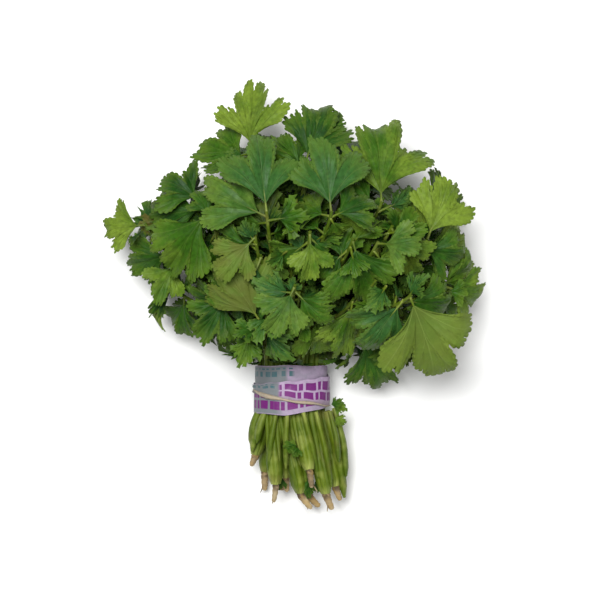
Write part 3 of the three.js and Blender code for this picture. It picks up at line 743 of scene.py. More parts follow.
def makeVeinGroup():
    made = [("Veins", "Float"), ("Swelling", "Float")]
    group, given, out = newGroup("leafVeins", [("Map", "Vector")], made)
    split = group.nodes.new("ShaderNodeSeparateXYZ")
    group.links.new(given.outputs[0], split.inputs[0])
    across, along = split.outputs[0], split.outputs[1]

    def vein(start, end, fromV, toV, width):  # a vein that runs from one share of the lobe to another
        t = ramp(group, along, fromV, toV, start, end, smooth=False)
        off = calc(group, "MULTIPLY", calc(group, "ABSOLUTE", calc(group, "SUBTRACT", across, t)), along)
        off = calc(group, "MULTIPLY", off, 0.42)
        mask = ramp(group, off, width * 0.25, width, 1.0, 0.0)
        return calc(group, "MULTIPLY", mask, ramp(group, along, fromV - 0.03, fromV, 0.0, 1.0)), off

    main, offMain = vein(0.0, 0.0, 0.0, 1.0, veins["main"])
    side, offSide = vein(0.0, 0.66, 0.26, 0.98, veins["side"])
    lines = [vein(0.0, 0.22, 0.58, 1.0, veins["fine"])[0], vein(0.3, 0.44, 0.58, 1.0, veins["fine"])[0],
             vein(0.46, 0.89, 0.72, 1.0, veins["fine"])[0], vein(0.0, 0.3, 0.12, 0.4, veins["fine"])[0]]
    total = calc(group, "MAXIMUM", main, calc(group, "MULTIPLY", side, 0.6))
    for line in lines:
        total = calc(group, "MAXIMUM", total, calc(group, "MULTIPLY", line, 0.3))
    group.links.new(total, out.inputs["Veins"])
    nearest = calc(group, "MINIMUM", offMain, offSide)
    group.links.new(ramp(group, nearest, 0.0, 0.08), out.inputs["Swelling"])
    return group


veinGroup = makeVeinGroup()

leafColours = {"dark": rgb(0.004, 0.032, 0.001), "mid": rgb(0.027, 0.085, 0.003),
               "light": rgb(0.135, 0.205, 0.02), "vein": rgb(0.2, 0.28, 0.06),
               "under": rgb(0.105, 0.16, 0.024), "wilted": rgb(0.1, 0.085, 0.02),
               "cool": rgb(0.026, 0.088, 0.019)}


def makeLeafMaterial():
    material, tree, shader = newMaterial("corianderLeaf")
    uv = tree.nodes.new("ShaderNodeUVMap")
    uv.uv_map = "leafMap"
    group = tree.nodes.new("ShaderNodeGroup")
    group.node_tree = veinGroup
    tree.links.new(uv.outputs[0], group.inputs[0])
    coords = objectCoords(tree)
    blotches = uneven(tree, coords, 55, 0.3, 0.7, -0.18, 0.18)["Value"]
    tone = calc(tree, "ADD", value(tree, "tone"), blotches, clamp=True)
    c = leafColours
    colour = blend(tree, ramp(tree, tone, 0.0, 0.5), c["dark"], c["mid"])
    colour = blend(tree, ramp(tree, tone, 0.5, 1.0), colour, c["light"])
    # the cool blue-green is partly the leaves' own colour and partly a painted sheen of reflected light
    colour = blend(tree, value(tree, "cool"), colour, c["cool"])
    mottle = uneven(tree, coords, 420, 0.25, 0.75, 0.78, 1.22, detail=4)["Value"]
    shade = tree.nodes.new("ShaderNodeCombineXYZ")
    for socket in shade.inputs:
        tree.links.new(mottle, socket)
    colour = blend(tree, 1.0, colour, shade.outputs[0], "MULTIPLY")
    under = value(tree, "underside")
    colour = blend(tree, calc(tree, "MULTIPLY", under, 0.72), colour, c["under"])
    split = tree.nodes.new("ShaderNodeSeparateXYZ")
    tree.links.new(uv.outputs[0], split.inputs[0])
    # partly the blade's own paler rim and partly painted light: lighter towards the rim
    colour = blend(tree, ramp(tree, split.outputs[1], 0.55, 1.0, 0.0, 0.3), colour, c["light"])
    # painted shade: darker towards the blade's base
    colour = blend(tree, ramp(tree, split.outputs[1], 0.0, 0.5, 0.35, 0.0), colour, c["dark"])
    veinShare = calc(tree, "MULTIPLY", group.outputs["Veins"], ramp(tree, under, 0.0, 1.0, 0.12, 0.36))
    colour = blend(tree, veinShare, colour, c["vein"])
    wilt = calc(tree, "MULTIPLY", value(tree, "wilt"), uneven(tree, coords, 90, 0.35, 0.6)["Value"])
    colour = blend(tree, wilt, colour, c["wilted"])
    tree.links.new(colour, shader.inputs["Base Color"])
    rough = uneven(tree, coords, 160, 0.3, 0.7, 0.4, 0.56)["Value"]
    tree.links.new(calc(tree, "ADD", rough, calc(tree, "MULTIPLY", under, 0.15)), shader.inputs["Roughness"])
    shader.inputs["Specular IOR Level"].default_value = 0.12
    sunk = calc(tree, "MULTIPLY", group.outputs["Veins"], 0.8)
    height = calc(tree, "SUBTRACT", group.outputs["Swelling"], sunk)
    fine, coarse = (uneven(tree, coords, scale, detail=2)["Raw"] for scale in (900, 230))
    grain = calc(tree, "ADD", calc(tree, "MULTIPLY", fine, 0.35), coarse)
    facing = ramp(tree, under, 0.0, 1.0, 1.0, -1.0)
    bump(tree, shader, calc(tree, "ADD", calc(tree, "MULTIPLY", height, facing), grain), 0.55, 0.0007)
    return material


stalkColours = {"pale": rgb(0.3, 0.34, 0.075), "fresh": rgb(0.115, 0.165, 0.007),
                "deep": rgb(0.042, 0.08, 0.003), "brown": rgb(0.12, 0.1, 0.02), "foot": rgb(0.34, 0.26, 0.1)}


def makeStalkMaterial():
    material, tree, shader = newMaterial("corianderStalk")
    coords = objectCoords(tree)
    along = value(tree, "along")
    c = stalkColours
    colour = blend(tree, ramp(tree, along, 0.0, 0.22), c["pale"], c["fresh"])
    colour = blend(tree, ramp(tree, along, 0.25, 0.9, 0.0, 0.6), colour, c["deep"])
    colour = blend(tree, ramp(tree, value(tree, "foot"), 0.0, 1.0, 0.0, 0.85), colour, c["foot"])
    streaks = uneven(tree, coords, 900, 0.38, 0.7, 0.0, 0.5, stretch=(1, 0.06, 1))
    colour = blend(tree, streaks["Value"], colour, c["deep"])
    colour = blend(tree, uneven(tree, coords, 130, 0.42, 0.72, 0.0, 0.45)["Value"], colour, c["pale"])
    colour = blend(tree, ramp(tree, value(tree, "tone"), 0.0, 1.0, 0.0, 0.6), colour, c["deep"])
    colour = blend(tree, uneven(tree, coords, 75, 0.56, 0.72, 0.0, 0.4)["Value"], colour, c["brown"])
    tree.links.new(colour, shader.inputs["Base Color"])
    tree.links.new(uneven(tree, coords, 200, 0.3, 0.7, 0.45, 0.62)["Value"], shader.inputs["Roughness"])
    shader.inputs["Specular IOR Level"].default_value = 0.2
    bump(tree, shader, streaks["Raw"], 0.35, 0.0004)
    return material


rootColours = {"skin": rgb(0.33, 0.24, 0.12), "soilAndShade": rgb(0.07, 0.045, 0.02), "cut": rgb(0.5, 0.41, 0.24),
              "gold": rgb(0.34, 0.22, 0.06)}


def makeRootMaterial():
    material, tree, shader = newMaterial("corianderRoot")
    coords = objectCoords(tree)
    c = rootColours
    rings = uneven(tree, coords, 260, 0.4, 0.75, 0.0, 0.6, detail=4, roughness=0.6, stretch=(0.7, 1.3, 0.7))
    colour = blend(tree, rings["Value"], c["skin"], c["soilAndShade"])
    colour = blend(tree, ramp(tree, value(tree, "tone"), 0.55, 1.0, 0.0, 0.75), colour, c["soilAndShade"])
    colour = blend(tree, uneven(tree, coords, 90, 0.45, 0.7, 0.0, 0.6)["Value"], colour, c["cut"])
    along = value(tree, "along")
    stains = uneven(tree, coords, 320, 0.3, 0.55)["Value"]
    stained = calc(tree, "MULTIPLY", ramp(tree, along, 0.1, 0.55, 1.0, 0.0), stains)
    colour = blend(tree, stained, colour, c["soilAndShade"])
    colour = blend(tree, uneven(tree, coords, 150, 0.5, 0.62, 0.0, 0.55)["Value"], colour, c["gold"])
    colour = blend(tree, ramp(tree, along, 0.93, 1.0, 0.0, 0.6), colour, c["cut"])
    tree.links.new(colour, shader.inputs["Base Color"])
    shader.inputs["Roughness"].default_value = 0.78
    bump(tree, shader, rings["Raw"], 0.7, 0.0006)
    return material


leafMaterial, stalkMaterial, rootMaterial = makeLeafMaterial(), makeStalkMaterial(), makeRootMaterial()
print("patterns and materials", len(patterns))


# The wound label strip
strip = {"from": -9, "to": 49, "perTurn": 20, "width": 18.5, "endWidth": 4.5, "narrows": 41,
         "thickness": 0.5, "sheet": 0.36, "pitch": 0.85, "start": 0.35, "finer": 5, "across": 12,
         "roll": 1.15,
         "middles": ((-9, 4), (5, 6.5), (15, 4), (25, -6.5), (33, -5), (39, -1.5), (49, 0.5))}


def stripPlace(step, across, extra):  # step counts twentieths of a turn, across runs from -0.5 to 0.5
    at, middles = zip(*strip["middles"])
    width = np.interp(step, (strip["narrows"], strip["to"]), (strip["width"], strip["endWidth"]))
    angle = (step + 0.5) / strip["perTurn"] * 2 * math.pi
    out = strip["start"] + strip["pitch"] * (step - strip["from"]) / strip["perTurn"] + extra
    y = np.interp(step, at, middles) + across * width
    low = np.where(extra > 0.4, 0, strip["thickness"])
    z = np.maximum(neck["height"] + np.sin(angle) * (neck["halfHeight"] + out), low)
    return np.stack((neck["x"] + np.cos(angle) * (neck["halfWidth"] + out), y, z), axis=-1)


steps = np.arange(strip["from"], strip["to"] + 1)
stripLow = np.minimum(stripPlace(steps, -0.5, 0.5).min(axis=0), stripPlace(steps, -0.5, 0.0).min(axis=0))
shift = np.array(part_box("label_strip")[0]) / mm - stripLow  # from the plant's own frame to the CAD's
print("shift", shift.round(3))


def makeStrip(material):
    long, wide = (strip["to"] - strip["from"]) * strip["finer"], strip["across"]
    clearSelection()
    bpy.ops.mesh.primitive_grid_add(x_subdivisions=long, y_subdivisions=wide, size=1)
    band = bpy.context.object
    mesh = band.data
    at = coordsOf(mesh)
    step = strip["from"] + (at[:, 0] + 0.5) * (strip["to"] - strip["from"])
    across = at[:, 1]
    crease = 0.1 * np.sin(step * 2.3 + across * 5) + 0.08 * np.sin(step * 5.1 - across * 9)
    free = np.clip((step - 38) / 8, 0, 1)
    curl = free * (0.5 * np.abs(2 * across) ** 3 + 0.35 * np.sin(step * 3.7 + across * 14) * (0.4 + across))
    waved = across + 0.012 * np.sin(step * 1.7) + free * 0.03 * np.sin(step * 4.1)
    putCoords(mesh, (stripPlace(step, waved, 0.25 + crease + curl) + shift) * mm)
    corner = np.empty(len(mesh.loops), dtype=int)
    mesh.loops.foreach_get("vertex_index", corner)
    mesh.uv_layers.active.name = "stripMap"
    places = np.stack(((step + 0.5) / strip["perTurn"], across + 0.5), axis=1)
    mesh.uv_layers.active.data.foreach_set("uv", places[corner].ravel())
    solid = band.modifiers.new("Solidify", "SOLIDIFY")
    solid.thickness, solid.offset = strip["sheet"] * mm, 0
    bpy.ops.object.modifier_apply(modifier=solid.name)
    bpy.ops.object.shade_smooth_by_angle(angle=math.radians(40))
    band.data.materials.append(material)
    pointValues(band.data, "rolled", 0)
    ends = np.linspace(40.2, 48.6, 26)  # the free end's lower edge is pinched into a roll
    edge = np.where(ends < 46, -0.5, -0.5 + (ends - 46) * 0.12)
    path = stripPlace(ends, edge, 0.75 + 0.2 * np.sin(ends * 3))
    path += 0.3 * np.sin(ends * 2.1)[:, None] * np.array([0, 1.0, 0])
    radius = strip["roll"] * (0.7 + 0.25 * np.sin(ends * 1.9 + 1) + 0.4 * np.clip((ends - 44) / 2, 0, 1))
    radius *= np.clip(np.minimum(ends - 39.7, 49 - ends) / 1.6, 0.25, 1)
    roll = tubeCopy("roll", list(zip(path, radius)), material, bumps=0.1)
    pointValues(roll.data, "rolled", 1)
    return [band, roll]


stripColours = {"sheet": rgb(0.15, 0.165, 0.175), "panel": rgb(0.37, 0.27, 0.4), "bar": rgb(0.12, 0.0, 0.12),
                "line": rgb(0.03, 0.1, 0.115), "roll": rgb(0.36, 0.29, 0.2), "soilAndShade": rgb(0.12, 0.08, 0.06)}


def makeStripMaterial():
    material, tree, shader = newMaterial("labelPaper")
    uv = tree.nodes.new("ShaderNodeUVMap")
    uv.uv_map = "stripMap"
    split = tree.nodes.new("ShaderNodeSeparateXYZ")
    tree.links.new(uv.outputs[0], split.inputs[0])
    turns, across = split.outputs[0], split.outputs[1]

    def within(source, low, high, soft=0.004):
        above = ramp(tree, source, low - soft, low + soft)
        return calc(tree, "MULTIPLY", above, ramp(tree, source, high - soft, high + soft, 1.0, 0.0))

    def bars(count, low, high, share):  # a row of plain bars of unlike lengths
        quick, slow = (calc(tree, "SINE", calc(tree, "MULTIPLY", turns, count * k)) for k in (1, 0.37))
        wave = calc(tree, "ADD", quick, calc(tree, "MULTIPLY", slow, 0.6))
        inRow = within(across, low, high, 0.012)
        return calc(tree, "MULTIPLY", ramp(tree, wave, share - 0.12, share + 0.12), inRow)

    c = stripColours
    outer = within(turns, 1.97, 2.3, 0.008)
    coords = objectCoords(tree)
    colour = blend(tree, outer, c["sheet"], c["panel"])
    second = within(turns, 0.97, 1.3, 0.02)
    first = within(turns, -0.03, 0.27, 0.01)
    pale = calc(tree, "MULTIPLY", calc(tree, "MAXIMUM", first, second), 0.7)
    colour = blend(tree, pale, colour, c["panel"])
    magenta = calc(tree, "MAXIMUM", bars(236.0, 0.17, 0.46, -0.72), bars(214.0, 0.54, 0.85, -0.72))
    shown = calc(tree, "MAXIMUM", within(turns, 1.98, 2.3, 0.01), within(turns, 1.0, 1.47, 0.01))
    printed = calc(tree, "MULTIPLY", magenta, shown)
    teal = calc(tree, "MAXIMUM", bars(160.0, 0.62, 0.8, -0.3), bars(230.0, 0.86, 0.91, -0.2))
    tealZone = calc(tree, "MAXIMUM", within(turns, 0.24, 0.5, 0.01), within(turns, 2.32, 2.5, 0.01))
    colour = blend(tree, calc(tree, "MULTIPLY", teal, tealZone), colour, c["line"])
    edges = calc(tree, "MAXIMUM", within(across, 0.0, 0.035), within(across, 0.965, 1.0))
    colour = blend(tree, calc(tree, "MULTIPLY", edges, 0.6), colour, c["panel"])
    colour = blend(tree, value(tree, "rolled"), colour, c["roll"])
    crumple = uneven(tree, coords, 240, 0.35, 0.7, 0.0, 0.4, detail=4, roughness=0.6)
    colour = blend(tree, crumple["Value"], colour, c["sheet"])
    # painted shade: brown shade along the strip's lower edge, above the rolled free end
    shadeAboveRoll = calc(tree, "MULTIPLY", within(turns, 1.9, 2.5, 0.03), ramp(tree, across, 0.0, 0.3, 0.55, 0.0))
    colour = blend(tree, shadeAboveRoll, colour, c["soilAndShade"])
    colour = blend(tree, calc(tree, "MULTIPLY", printed, 0.96), colour, c["bar"])
    tree.links.new(colour, shader.inputs["Base Color"])
    tree.links.new(ramp(tree, crumple["Raw"], 0.3, 0.7, 0.45, 0.65), shader.inputs["Roughness"])
    shader.inputs["Specular IOR Level"].default_value = 0.3
    bump(tree, shader, crumple["Raw"], 0.45, 0.0007)
    return material


# Small leaves fill the bunch between the large ones, kept apart by a grid of busy cells
filler = {"tries": 30, "cell": 1.2, "perStalk": 14, "perExtra": 14, "leastY": 20, "hiddenBelow": 55,
          "lengths": (13, 24), "extraLengths": (14, 25)}
fillerShape = {"breadth": (0.8, 1), "cup": (-0.2, 0.4), "ruffle": (0.3, 1.0), "droop": (0.2, 0.7),
               "phase": (0, math.pi * 2), "handle": (3, 9)}
drawMore = seeded(918273)
boxLow, boxHigh = (np.array(corner) / mm - shift for corner in cadBounds)
busy = np.zeros(np.ceil((boxHigh - boxLow) / filler["cell"]).astype(int) + 4, dtype=bool)
around = np.array([(i, j, k) for i in (-1, 0, 1) for j in (-1, 0, 1) for k in (-1, 0, 1)])
nearest = around[np.abs(around).sum(axis=1) < 2]


def cellsOf(points):
    return np.floor((points - boxLow) / filler["cell"]).astype(int) + 1


def occupy(points):
    cells = np.clip((cellsOf(points)[:, None] + nearest[None]).reshape(-1, 3), 0, np.array(busy.shape) - 1)
    busy[tuple(cells.T)] = True


occupy(np.array(room.points))


def fillerFits(leaf, points):
    if (points < boxLow + 1).any() or (points > boxHigh - 1).any():
        return False
    if ((np.abs(points[:, 0] - neck["x"]) <= blade["clearX"]) & (points[:, 1] <= blade["clearY"] - 3)).any():
        return False
    apart = np.linalg.norm(points - leaf["root"], axis=1) > blade["rootZone"]
    if busy[tuple(cellsOf(points[apart]).T)].any():
        return False
    occupy(points)
    return True


def placeFiller(root, heading, length):
    for attempt in range(filler["tries"]):
        kindName = kindNames[int(drawMore() * 3) % 3]
        leaf = {"length": length * (1 - 0.018 * attempt), "kind": kindName, "lies": root[2] < 12,
                "plan": bladePlans[kindName][False]}
        for name, (least, most) in fillerShape.items():
            leaf[name] = mix(least, most, drawMore())
        turn = heading + (drawMore() * 2 - 1) * 120
        calm = 0.3 if leaf["lies"] else 1
        pitch, roll = (drawMore() * 2 - 1) * 55 * calm, (drawMore() * 2 - 1) * 50 * calm
        tried = aimLeaf(root, turn, pitch, roll, leaf)
        points = leafBalls(tried)
        if (points[:, 2] >= blade["half"]).all() and fillerFits(tried, points):
            return tried
    return None


spareStalk = {"sway": (14, 14, 8), "back": (0, 6, 6), "twist": 60, "cluster": 3.6, "thin": 0.78}
extraStalks = []
for p, plant in enumerate(plants):
    for index in range(3):
        a, b = (np.array(plant[3][k][0], float) for k in (index, (index + 1) % 3))
        sway = np.array([drawMore() * 2 - 1, drawMore() * 2 - 1, drawMore() * 2 - 1])
        tip = mix(a, b, 0.35 + 0.3 * drawMore()) + sway * spareStalk["sway"] - spareStalk["back"]
        tip[2] = max(tip[2], 4)
        spare = (plant[0], plant[1], plant[2], {index: (tuple(tip), ())})
        looser = (spareStalk["twist"], spareStalk["cluster"], spareStalk["thin"])
        stations = stalkStations(spare, index, (0, 0), 3, *looser)
        extraStalks.append({"plant": p, "stations": stations})

fillerLeaves = [[] for _ in plants]


def fillAlong(p, stations, count, start, spread, lengths):
    for n in range(count):
        root = pointBack(stations, start + n * 5 + drawMore() * spread)
        if root[1] < filler["leastY"]:
            continue
        leaf = placeFiller(root, drawMore() * 360, mix(*lengths, drawMore()))
        if leaf:
            fillerLeaves[p].append(leaf)


for frond in fronds:
    frond["fine"] = stalkStations(plants[frond["plant"]], frond["index"], frond["bow"], 3)
    fillAlong(frond["plant"], frond["fine"], filler["perStalk"], 3, 5, filler["lengths"])
for extra in extraStalks:
    fillAlong(extra["plant"], extra["stations"], filler["perExtra"], 0, 4, filler["extraLengths"])
print("small leaves", sum(map(len, fillerLeaves)))


# Each plant is joined from its leaves, stalks and root crown
def joined(parts, name):
    clearSelection()
    for part in parts:
        part.select_set(True)
    bpy.context.view_layer.objects.active = parts[0]
    if len(parts) > 1:
        bpy.ops.object.join()
    piece = bpy.context.object
    piece.name = name
    return piece


def handleTube(leaf):
    near = bladePoints(leaf, np.zeros(3), np.array([0.0, 0.08, 0.2]) * leaf["length"], np.full(3, -0.25))
    places = [leaf["root"], mix(leaf["root"], leaf["base"], 0.5), near[0], near[1], near[2]]
    return tubeCopy("handle", list(zip(places, (0.95, 0.75, 0.62, 0.42, 0.16))), stalkMaterial, drawMore())


# How the leaves that show most look, for each stalk from its largest leaf on, in tones that are partly their
# own colour and partly painted light and shade; the others are drawn by height, painted darker lower in the
# bunch as shade
# the pale bluish look is a painted sheen of reflected light; the blue look is partly the leaves' own
# blue-green and partly a painted sheen
looks = {"pale": (0.92, 0, 0), "light": (0.72, 0.05, 0), "bright": (0.56, 0, 0), "mid": (0.44, 0.1, 0),
         "deep": (0.27, 0.15, 0), "dark": (0.1, 0.3, 0), "blue": (0.4, 0.75, 0), "frost": (0.72, 0.5, 0),
         "olive": (0.55, 0, 0.4), "turned": (0.8, 0, 0.15), "wilted": (0.45, 0, 1)}  # tone, cool, wilt
shown = {
    0: "frost", 1: "olive blue", 2: "olive deep", 10: "frost mid mid", 11: "blue frost light",
    12: "blue bright deep", 20: "light mid mid", 21: "light mid", 22: "mid bright deep", 30: "light mid",
    31: "frost", 32: "turned blue mid", 40: "deep deep", 41: "bright bright deep", 42: "pale mid mid",
    50: "deep deep", 51: "pale bright mid", 52: "mid light", 60: "deep mid mid", 70: "light mid bright",
    71: "pale pale deep", 72: "light mid mid", 80: "light mid mid", 81: "light light light",
    82: "deep deep deep", 90: "pale deep", 91: "dark dark", 120: "light deep", 121: "dark dark",
}
core = {"middle": (-6, 62), "half": (46, 44), "cool": 0.7}  # a painted blue-green sheen on the leaves over the middle
levelled = {(90, 0): 1.6}  # leaves turned towards the light, since their lobes would hang down as tails


def levelLeaf(leaf, share):
    face = leaf["face"] + np.array([0, 0, share])
    face = unit(face - leaf["axis"] * (face @ leaf["axis"]))
    return dict(leaf, face=face, side=np.cross(leaf["axis"], face), cup=0.1, droop=0.5)


def lookOf(leaf, owner=None, n=0):
    names = shown.get(owner, "").split()
    sway = drawMore() - 0.5
    if n < len(names):
        tone, cool, wilt = looks[names[n]]
        isTurned = names[n] in ("turned", "olive")
        return {"tone": tone + 0.08 * sway, "cool": cool, "wilt": wilt, "turned": isTurned}
    # painted shade: the lower a leaf sits in the bunch, the darker its tone
    tone = 0.06 + 0.42 * min(1, max(0, (leaf["base"][2] - 20) / 70)) + 0.75 * sway
    off = np.linalg.norm((leaf["base"][:2] - core["middle"]) / core["half"])
    cool = max(0, drawMore() * 1.9 - 1.1) + core["cool"] * max(0, 1 - off)
    return {"tone": min(0.95, max(0, tone)), "cool": min(1, cool), "wilt": max(0, drawMore() * 3 - 2.5)}


# Loose stems below the strip: the plant they belong to, both ends and the radius
spareStems = (
    (0, (-24, -9, 24), (-31, -36, 25), 2.9), (0, (-20, -10, 30), (-27.5, -34, 30), 2.6),
    (8, (22, -12, 24), (29.5, -56, 24), 2.4), (12, (17, -14, 26), (28.6, -70, 19), 3.1),
    (12, (20, -14, 22), (28.2, -50, 22), 2.2), (8, (19, -14, 30), (24.5, -46, 33), 1.9),
    (0, (-22, -14, 26), (-30.5, -40, 27), 2.3), (4, (-24, -14, 18), (-27.5, -46, 15), 2.2),
    (0, (-15, -14, 34), (-20, -52, 30), 2.1), (1, (-8, -14, 37), (-9, -50, 33), 1.8),
    (2, (2, -14, 37), (12, -58, 30), 2.0), (6, (0, -14, 30), (4, -66, 22), 2.3),
    (5, (-12, -14, 30), (-14, -62, 20), 2.1), (3, (10, -14, 34), (20, -62, 30), 1.9),
)
# Single small leaves: the plant, place, heading, length and look
sprigs = (
    (6, (17, 160, 52), 62, 15, "dark"), (5, (-86, 108, 46), 215, 15, "wilted"),
    (5, (-84, 101, 40), 150, 13, "wilted"), (8, (19, -9, 33), -12, 9, "bright"),
    (8, (21, -16, 31), -40, 8, "light"), (3, (18, -10, 35), 18, 7, "mid"),
    (1, (-1, -33, 39), 215, 9, "bright"), (1, (-1, -34, 40), 255, 7, "bright"),
    (2, (0, -35, 39), 175, 6, "light"), (6, (6, -56, 26), 265, 12, "deep"),
    (6, (8, -58, 24), 320, 9, "deep"), (5, (-11, -55, 20), 250, 9, "dark"),
)


def sprigLeaf(root, heading, length, look):
    axis = unit(np.array([math.cos(math.radians(heading)), math.sin(math.radians(heading)), 0.1]))
    face = unit(np.array([0, 0, 1.0]) - axis * axis[2])
    tone, cool, wilt = looks[look]
    leaf = {"length": length, "kind": "deep", "breadth": 0.95, "cup": 0.2, "ruffle": 0.5, "droop": 0.5,
            "phase": heading % 6.0, "lies": False, "root": root, "base": root + axis * 2, "axis": axis,
            "side": np.cross(axis, face), "face": face}
    return leafCopy(leaf, "plain", {"tone": tone, "cool": cool, "wilt": wilt}, leafMaterial)


# Along the crown and a sheath: (distance from the foot, radius); sheaths also stand out from the crown
crownShape = {"stations": ((0, 2.75), (3, 3.2), (10, 3.6), (24, 2.8)), "tanned": 4, "sheaths": 5,
              "length": (22, 38), "sheath": ((0.9, 2.2), (2.1, 2.9), (2.6, 2.7), (2.3, 1.6))}


def makeCrown(p, foot, low):
    far = np.linalg.norm(low - foot)
    stations = [(mix(foot, low, along / far), radius) for along, radius in crownShape["stations"]]
    crown = tubeCopy("crown", stations, stalkMaterial, 0, 9, 0.05, 1)
    along = np.linalg.norm(coordsOf(crown.data) / mm - shift - foot, axis=1)
    pointValues(crown.data, "foot", np.clip(1.5 - along / crownShape["tanned"], 0, 1))
    parts = [crown]
    for k in range(crownShape["sheaths"]):
        angle = k * 2 * math.pi / crownShape["sheaths"] + p
        off = np.array([math.cos(angle), 0, math.sin(angle)])
        size = mix(*crownShape["length"], drawMore())
        stations = [(mix(foot, low, at / far) + off * out, radius)
                    for at, (out, radius) in zip((0, 5, size * 0.6, size), crownShape["sheath"])]
        parts.append(tubeCopy("crown", stations, stalkMaterial, drawMore(), 3, 0.14, 1, 0.03))
    return parts


def spareStem(start, end, radius):
    near, far = np.array(start, float), np.array(end, float)
    bow = np.array([0.06 * far[0], 0, 2])
    path = [(near, radius * 0.7), (mix(near, far, 0.5) + bow, radius),
            (mix(near, far, 0.85) + bow * 0.4, radius * 0.9), (mix(near, far, 0.97), radius * 0.55),
            (far, radius * 0.3)]
    return tubeCopy("crown", path, stalkMaterial, drawMore(), 3, 0.12, 1, 0.03)


def makePlant(p):
    plant = plants[p]
    parts = []
    for frond in (f for f in fronds if f["plant"] == p):
        parts.append(tubeCopy("stalk", frond["fine"], stalkMaterial, drawMore(), 5, 0.07, 2))
        for n, leaf in enumerate(frond["leaves"]):
            detail = "large" if leaf["length"] > 38 else "fine"
            if (frond["owner"], n) in levelled:
                leaf = levelLeaf(leaf, levelled[frond["owner"], n])
            parts += [leafCopy(leaf, detail, lookOf(leaf, frond["owner"], n), leafMaterial), handleTube(leaf)]
    for extra in (e for e in extraStalks if e["plant"] == p):
        parts.append(tubeCopy("stalk", extra["stations"], stalkMaterial, drawMore(), 5, 0.07, 2))
    for leaf in fillerLeaves[p]:
        hidden = leaf["base"][2] < filler["hiddenBelow"]
        look = lookOf(leaf)
        # painted shade: filler leaves deep in the bunch get a much darker tone, the others a little darker
        look["tone"] *= 0.4 if hidden else 0.8
        parts.append(leafCopy(leaf, "coarse" if hidden else "plain", look, leafMaterial))
        if not hidden:
            parts.append(handleTube(leaf))
    parts += makeCrown(p, footPoint(plant), neckPoint(plant, -neck["end"]))
    parts += [spareStem(start, end, radius) for owner, start, end, radius in spareStems if owner == p]
    parts += [sprigLeaf(np.array(root), heading, length, look)
              for owner, root, heading, length, look in sprigs if owner == p]
    return joined(parts, "corianderPlant%02d" % (p + 1))


# Along a cut root: the share of its length and of its lean, and the radius
rootShape = {"stations": ((0.45, 0.3, 2.2), (0.8, 0.75, 1.85)), "top": 2.6, "tip": (1.65, 0.8),
             "slim": (1.04, 0.72), "longFrom": 10, "rootlet": ((0, 0, 0.7), (3.2, 0, 0.45), (5.5, 1, 0.2))}


def makeRoot(p):
    plant = plants[p]
    foot, (length, lean) = footPoint(plant), plant[2]
    down = unit(foot - neckPoint(plant, -neck["end"]))
    leaning = np.array([1.0, 0, 0]) * lean
    tone = drawMore()
    slim = mix(*rootShape["slim"], tone ** 2)
    stations = [(foot + down * 0.3, rootShape["top"] * slim), (foot + down * 1.8, rootShape["top"] * slim)]
    for along, aside, radius in rootShape["stations"]:
        stations.append((foot + down * length * along + leaning * aside, radius * slim))
    stations.append((foot + down * (length - 1) + leaning * 0.95, rootShape["tip"][0] * slim))
    stations.append((foot + down * length + leaning, rootShape["tip"][1] * slim))
    parts = [tubeCopy("root", stations, rootMaterial, tone, 5, 0.06, 0, 0.08)]
    if length > rootShape["longFrom"]:
        angle = drawMore() * 2 * math.pi
        start = foot + down * length * mix(0.3, 0.8, drawMore()) + leaning * 0.4
        away = unit(down * 0.8 + np.array([math.cos(angle), 0, math.sin(angle)]) * 0.6)
        path = [(start + away * out + down * sag, radius) for out, sag, radius in rootShape["rootlet"]]
        parts.append(tubeCopy("handle", path, rootMaterial, 1))
    return joined(parts, "corianderRoot%02d" % (p + 1))


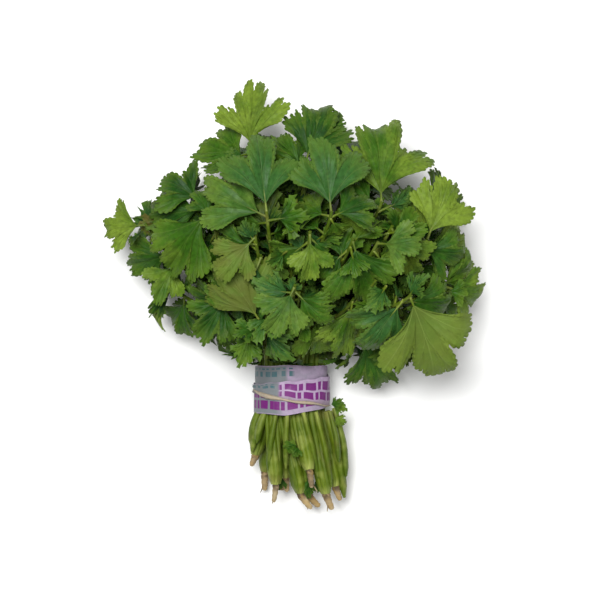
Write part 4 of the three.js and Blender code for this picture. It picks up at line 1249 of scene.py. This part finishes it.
pieces = {}
for p in range(len(plants)):
    number = "%02d" % (p + 1)
    pieces["plant_" + number] = (makePlant(p), "foliage")
    pieces["root_" + number] = (makeRoot(p), "tap_root")
pieces["label_strip"] = (joined(makeStrip(makeStripMaterial()), "wrappedLabel"), "label_strip")
for variants in patterns.values():
    for pattern, *_ in variants:
        bpy.data.objects.remove(pattern)
for node, (piece, slot) in pieces.items():
    at = coordsOf(piece.data)
    at[:, 2] = np.maximum(at[:, 2], 0)
    putCoords(piece.data, at)
    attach(piece, "root")
    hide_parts(node)
triangles = [len(piece.data.loops) - 2 * len(piece.data.polygons) for piece, _ in pieces.values()]
print("pieces", len(pieces), "triangles", sum(triangles), "most in one", max(triangles))


# A pale floor, soft lights and the camera straight above
def makeFloor():
    bpy.ops.mesh.primitive_plane_add(size=6, location=(0, 0, 0))
    floor = bpy.context.object
    floor.name = "paleFloor"
    material, tree, shader = newMaterial("paleBackdrop")
    shader.inputs["Base Color"].default_value = rgb(0.9, 0.9, 0.89)
    shader.inputs["Roughness"].default_value = 0.8
    floor.data.materials.append(material)


def softLight(name, place, size, power, tint=(1, 1, 1)):
    data = bpy.data.lights.new(name, "AREA")
    data.size, data.energy, data.color = size, power, tint
    light = bpy.data.objects.new(name, data)
    light.location = place
    light.rotation_euler = (Vector((0, 0, 0.04)) - Vector(place)).to_track_quat("-Z", "Y").to_euler()
    bpy.context.collection.objects.link(light)


clearSelection()
makeFloor()
softLight("keyLight", (-0.22, 0.34, 1.42), 0.6, 27)
softLight("fillLight", (0.9, -0.5, 1.0), 1.2, 5)
scene = bpy.context.scene
world = scene.world or bpy.data.worlds.new("studio")
scene.world = world
world.use_nodes = True
world.node_tree.nodes["Background"].inputs["Color"].default_value = rgb(1, 1, 1)
world.node_tree.nodes["Background"].inputs["Strength"].default_value = 0.3
scene.view_settings.view_transform = "Standard"

# Over the middle of the bunch, in metres but for the place in the plant's own frame, in millimetres
cameraSetup = {"distance": 1.1, "middle": 0.05, "across": 0.375, "over": (0, 57)}
camera = bpy.data.objects.new("camera", bpy.data.cameras.new("camera"))
camera.data.sensor_width = 36
camera.data.lens = 36 * (cameraSetup["distance"] - cameraSetup["middle"]) / cameraSetup["across"]
x, y = ((place + moved) * mm for place, moved in zip(cameraSetup["over"], shift))
camera.location = (x, y, cameraSetup["distance"])
bpy.context.collection.objects.link(camera)
scene.camera = camera
print("camera", tuple(camera.location))
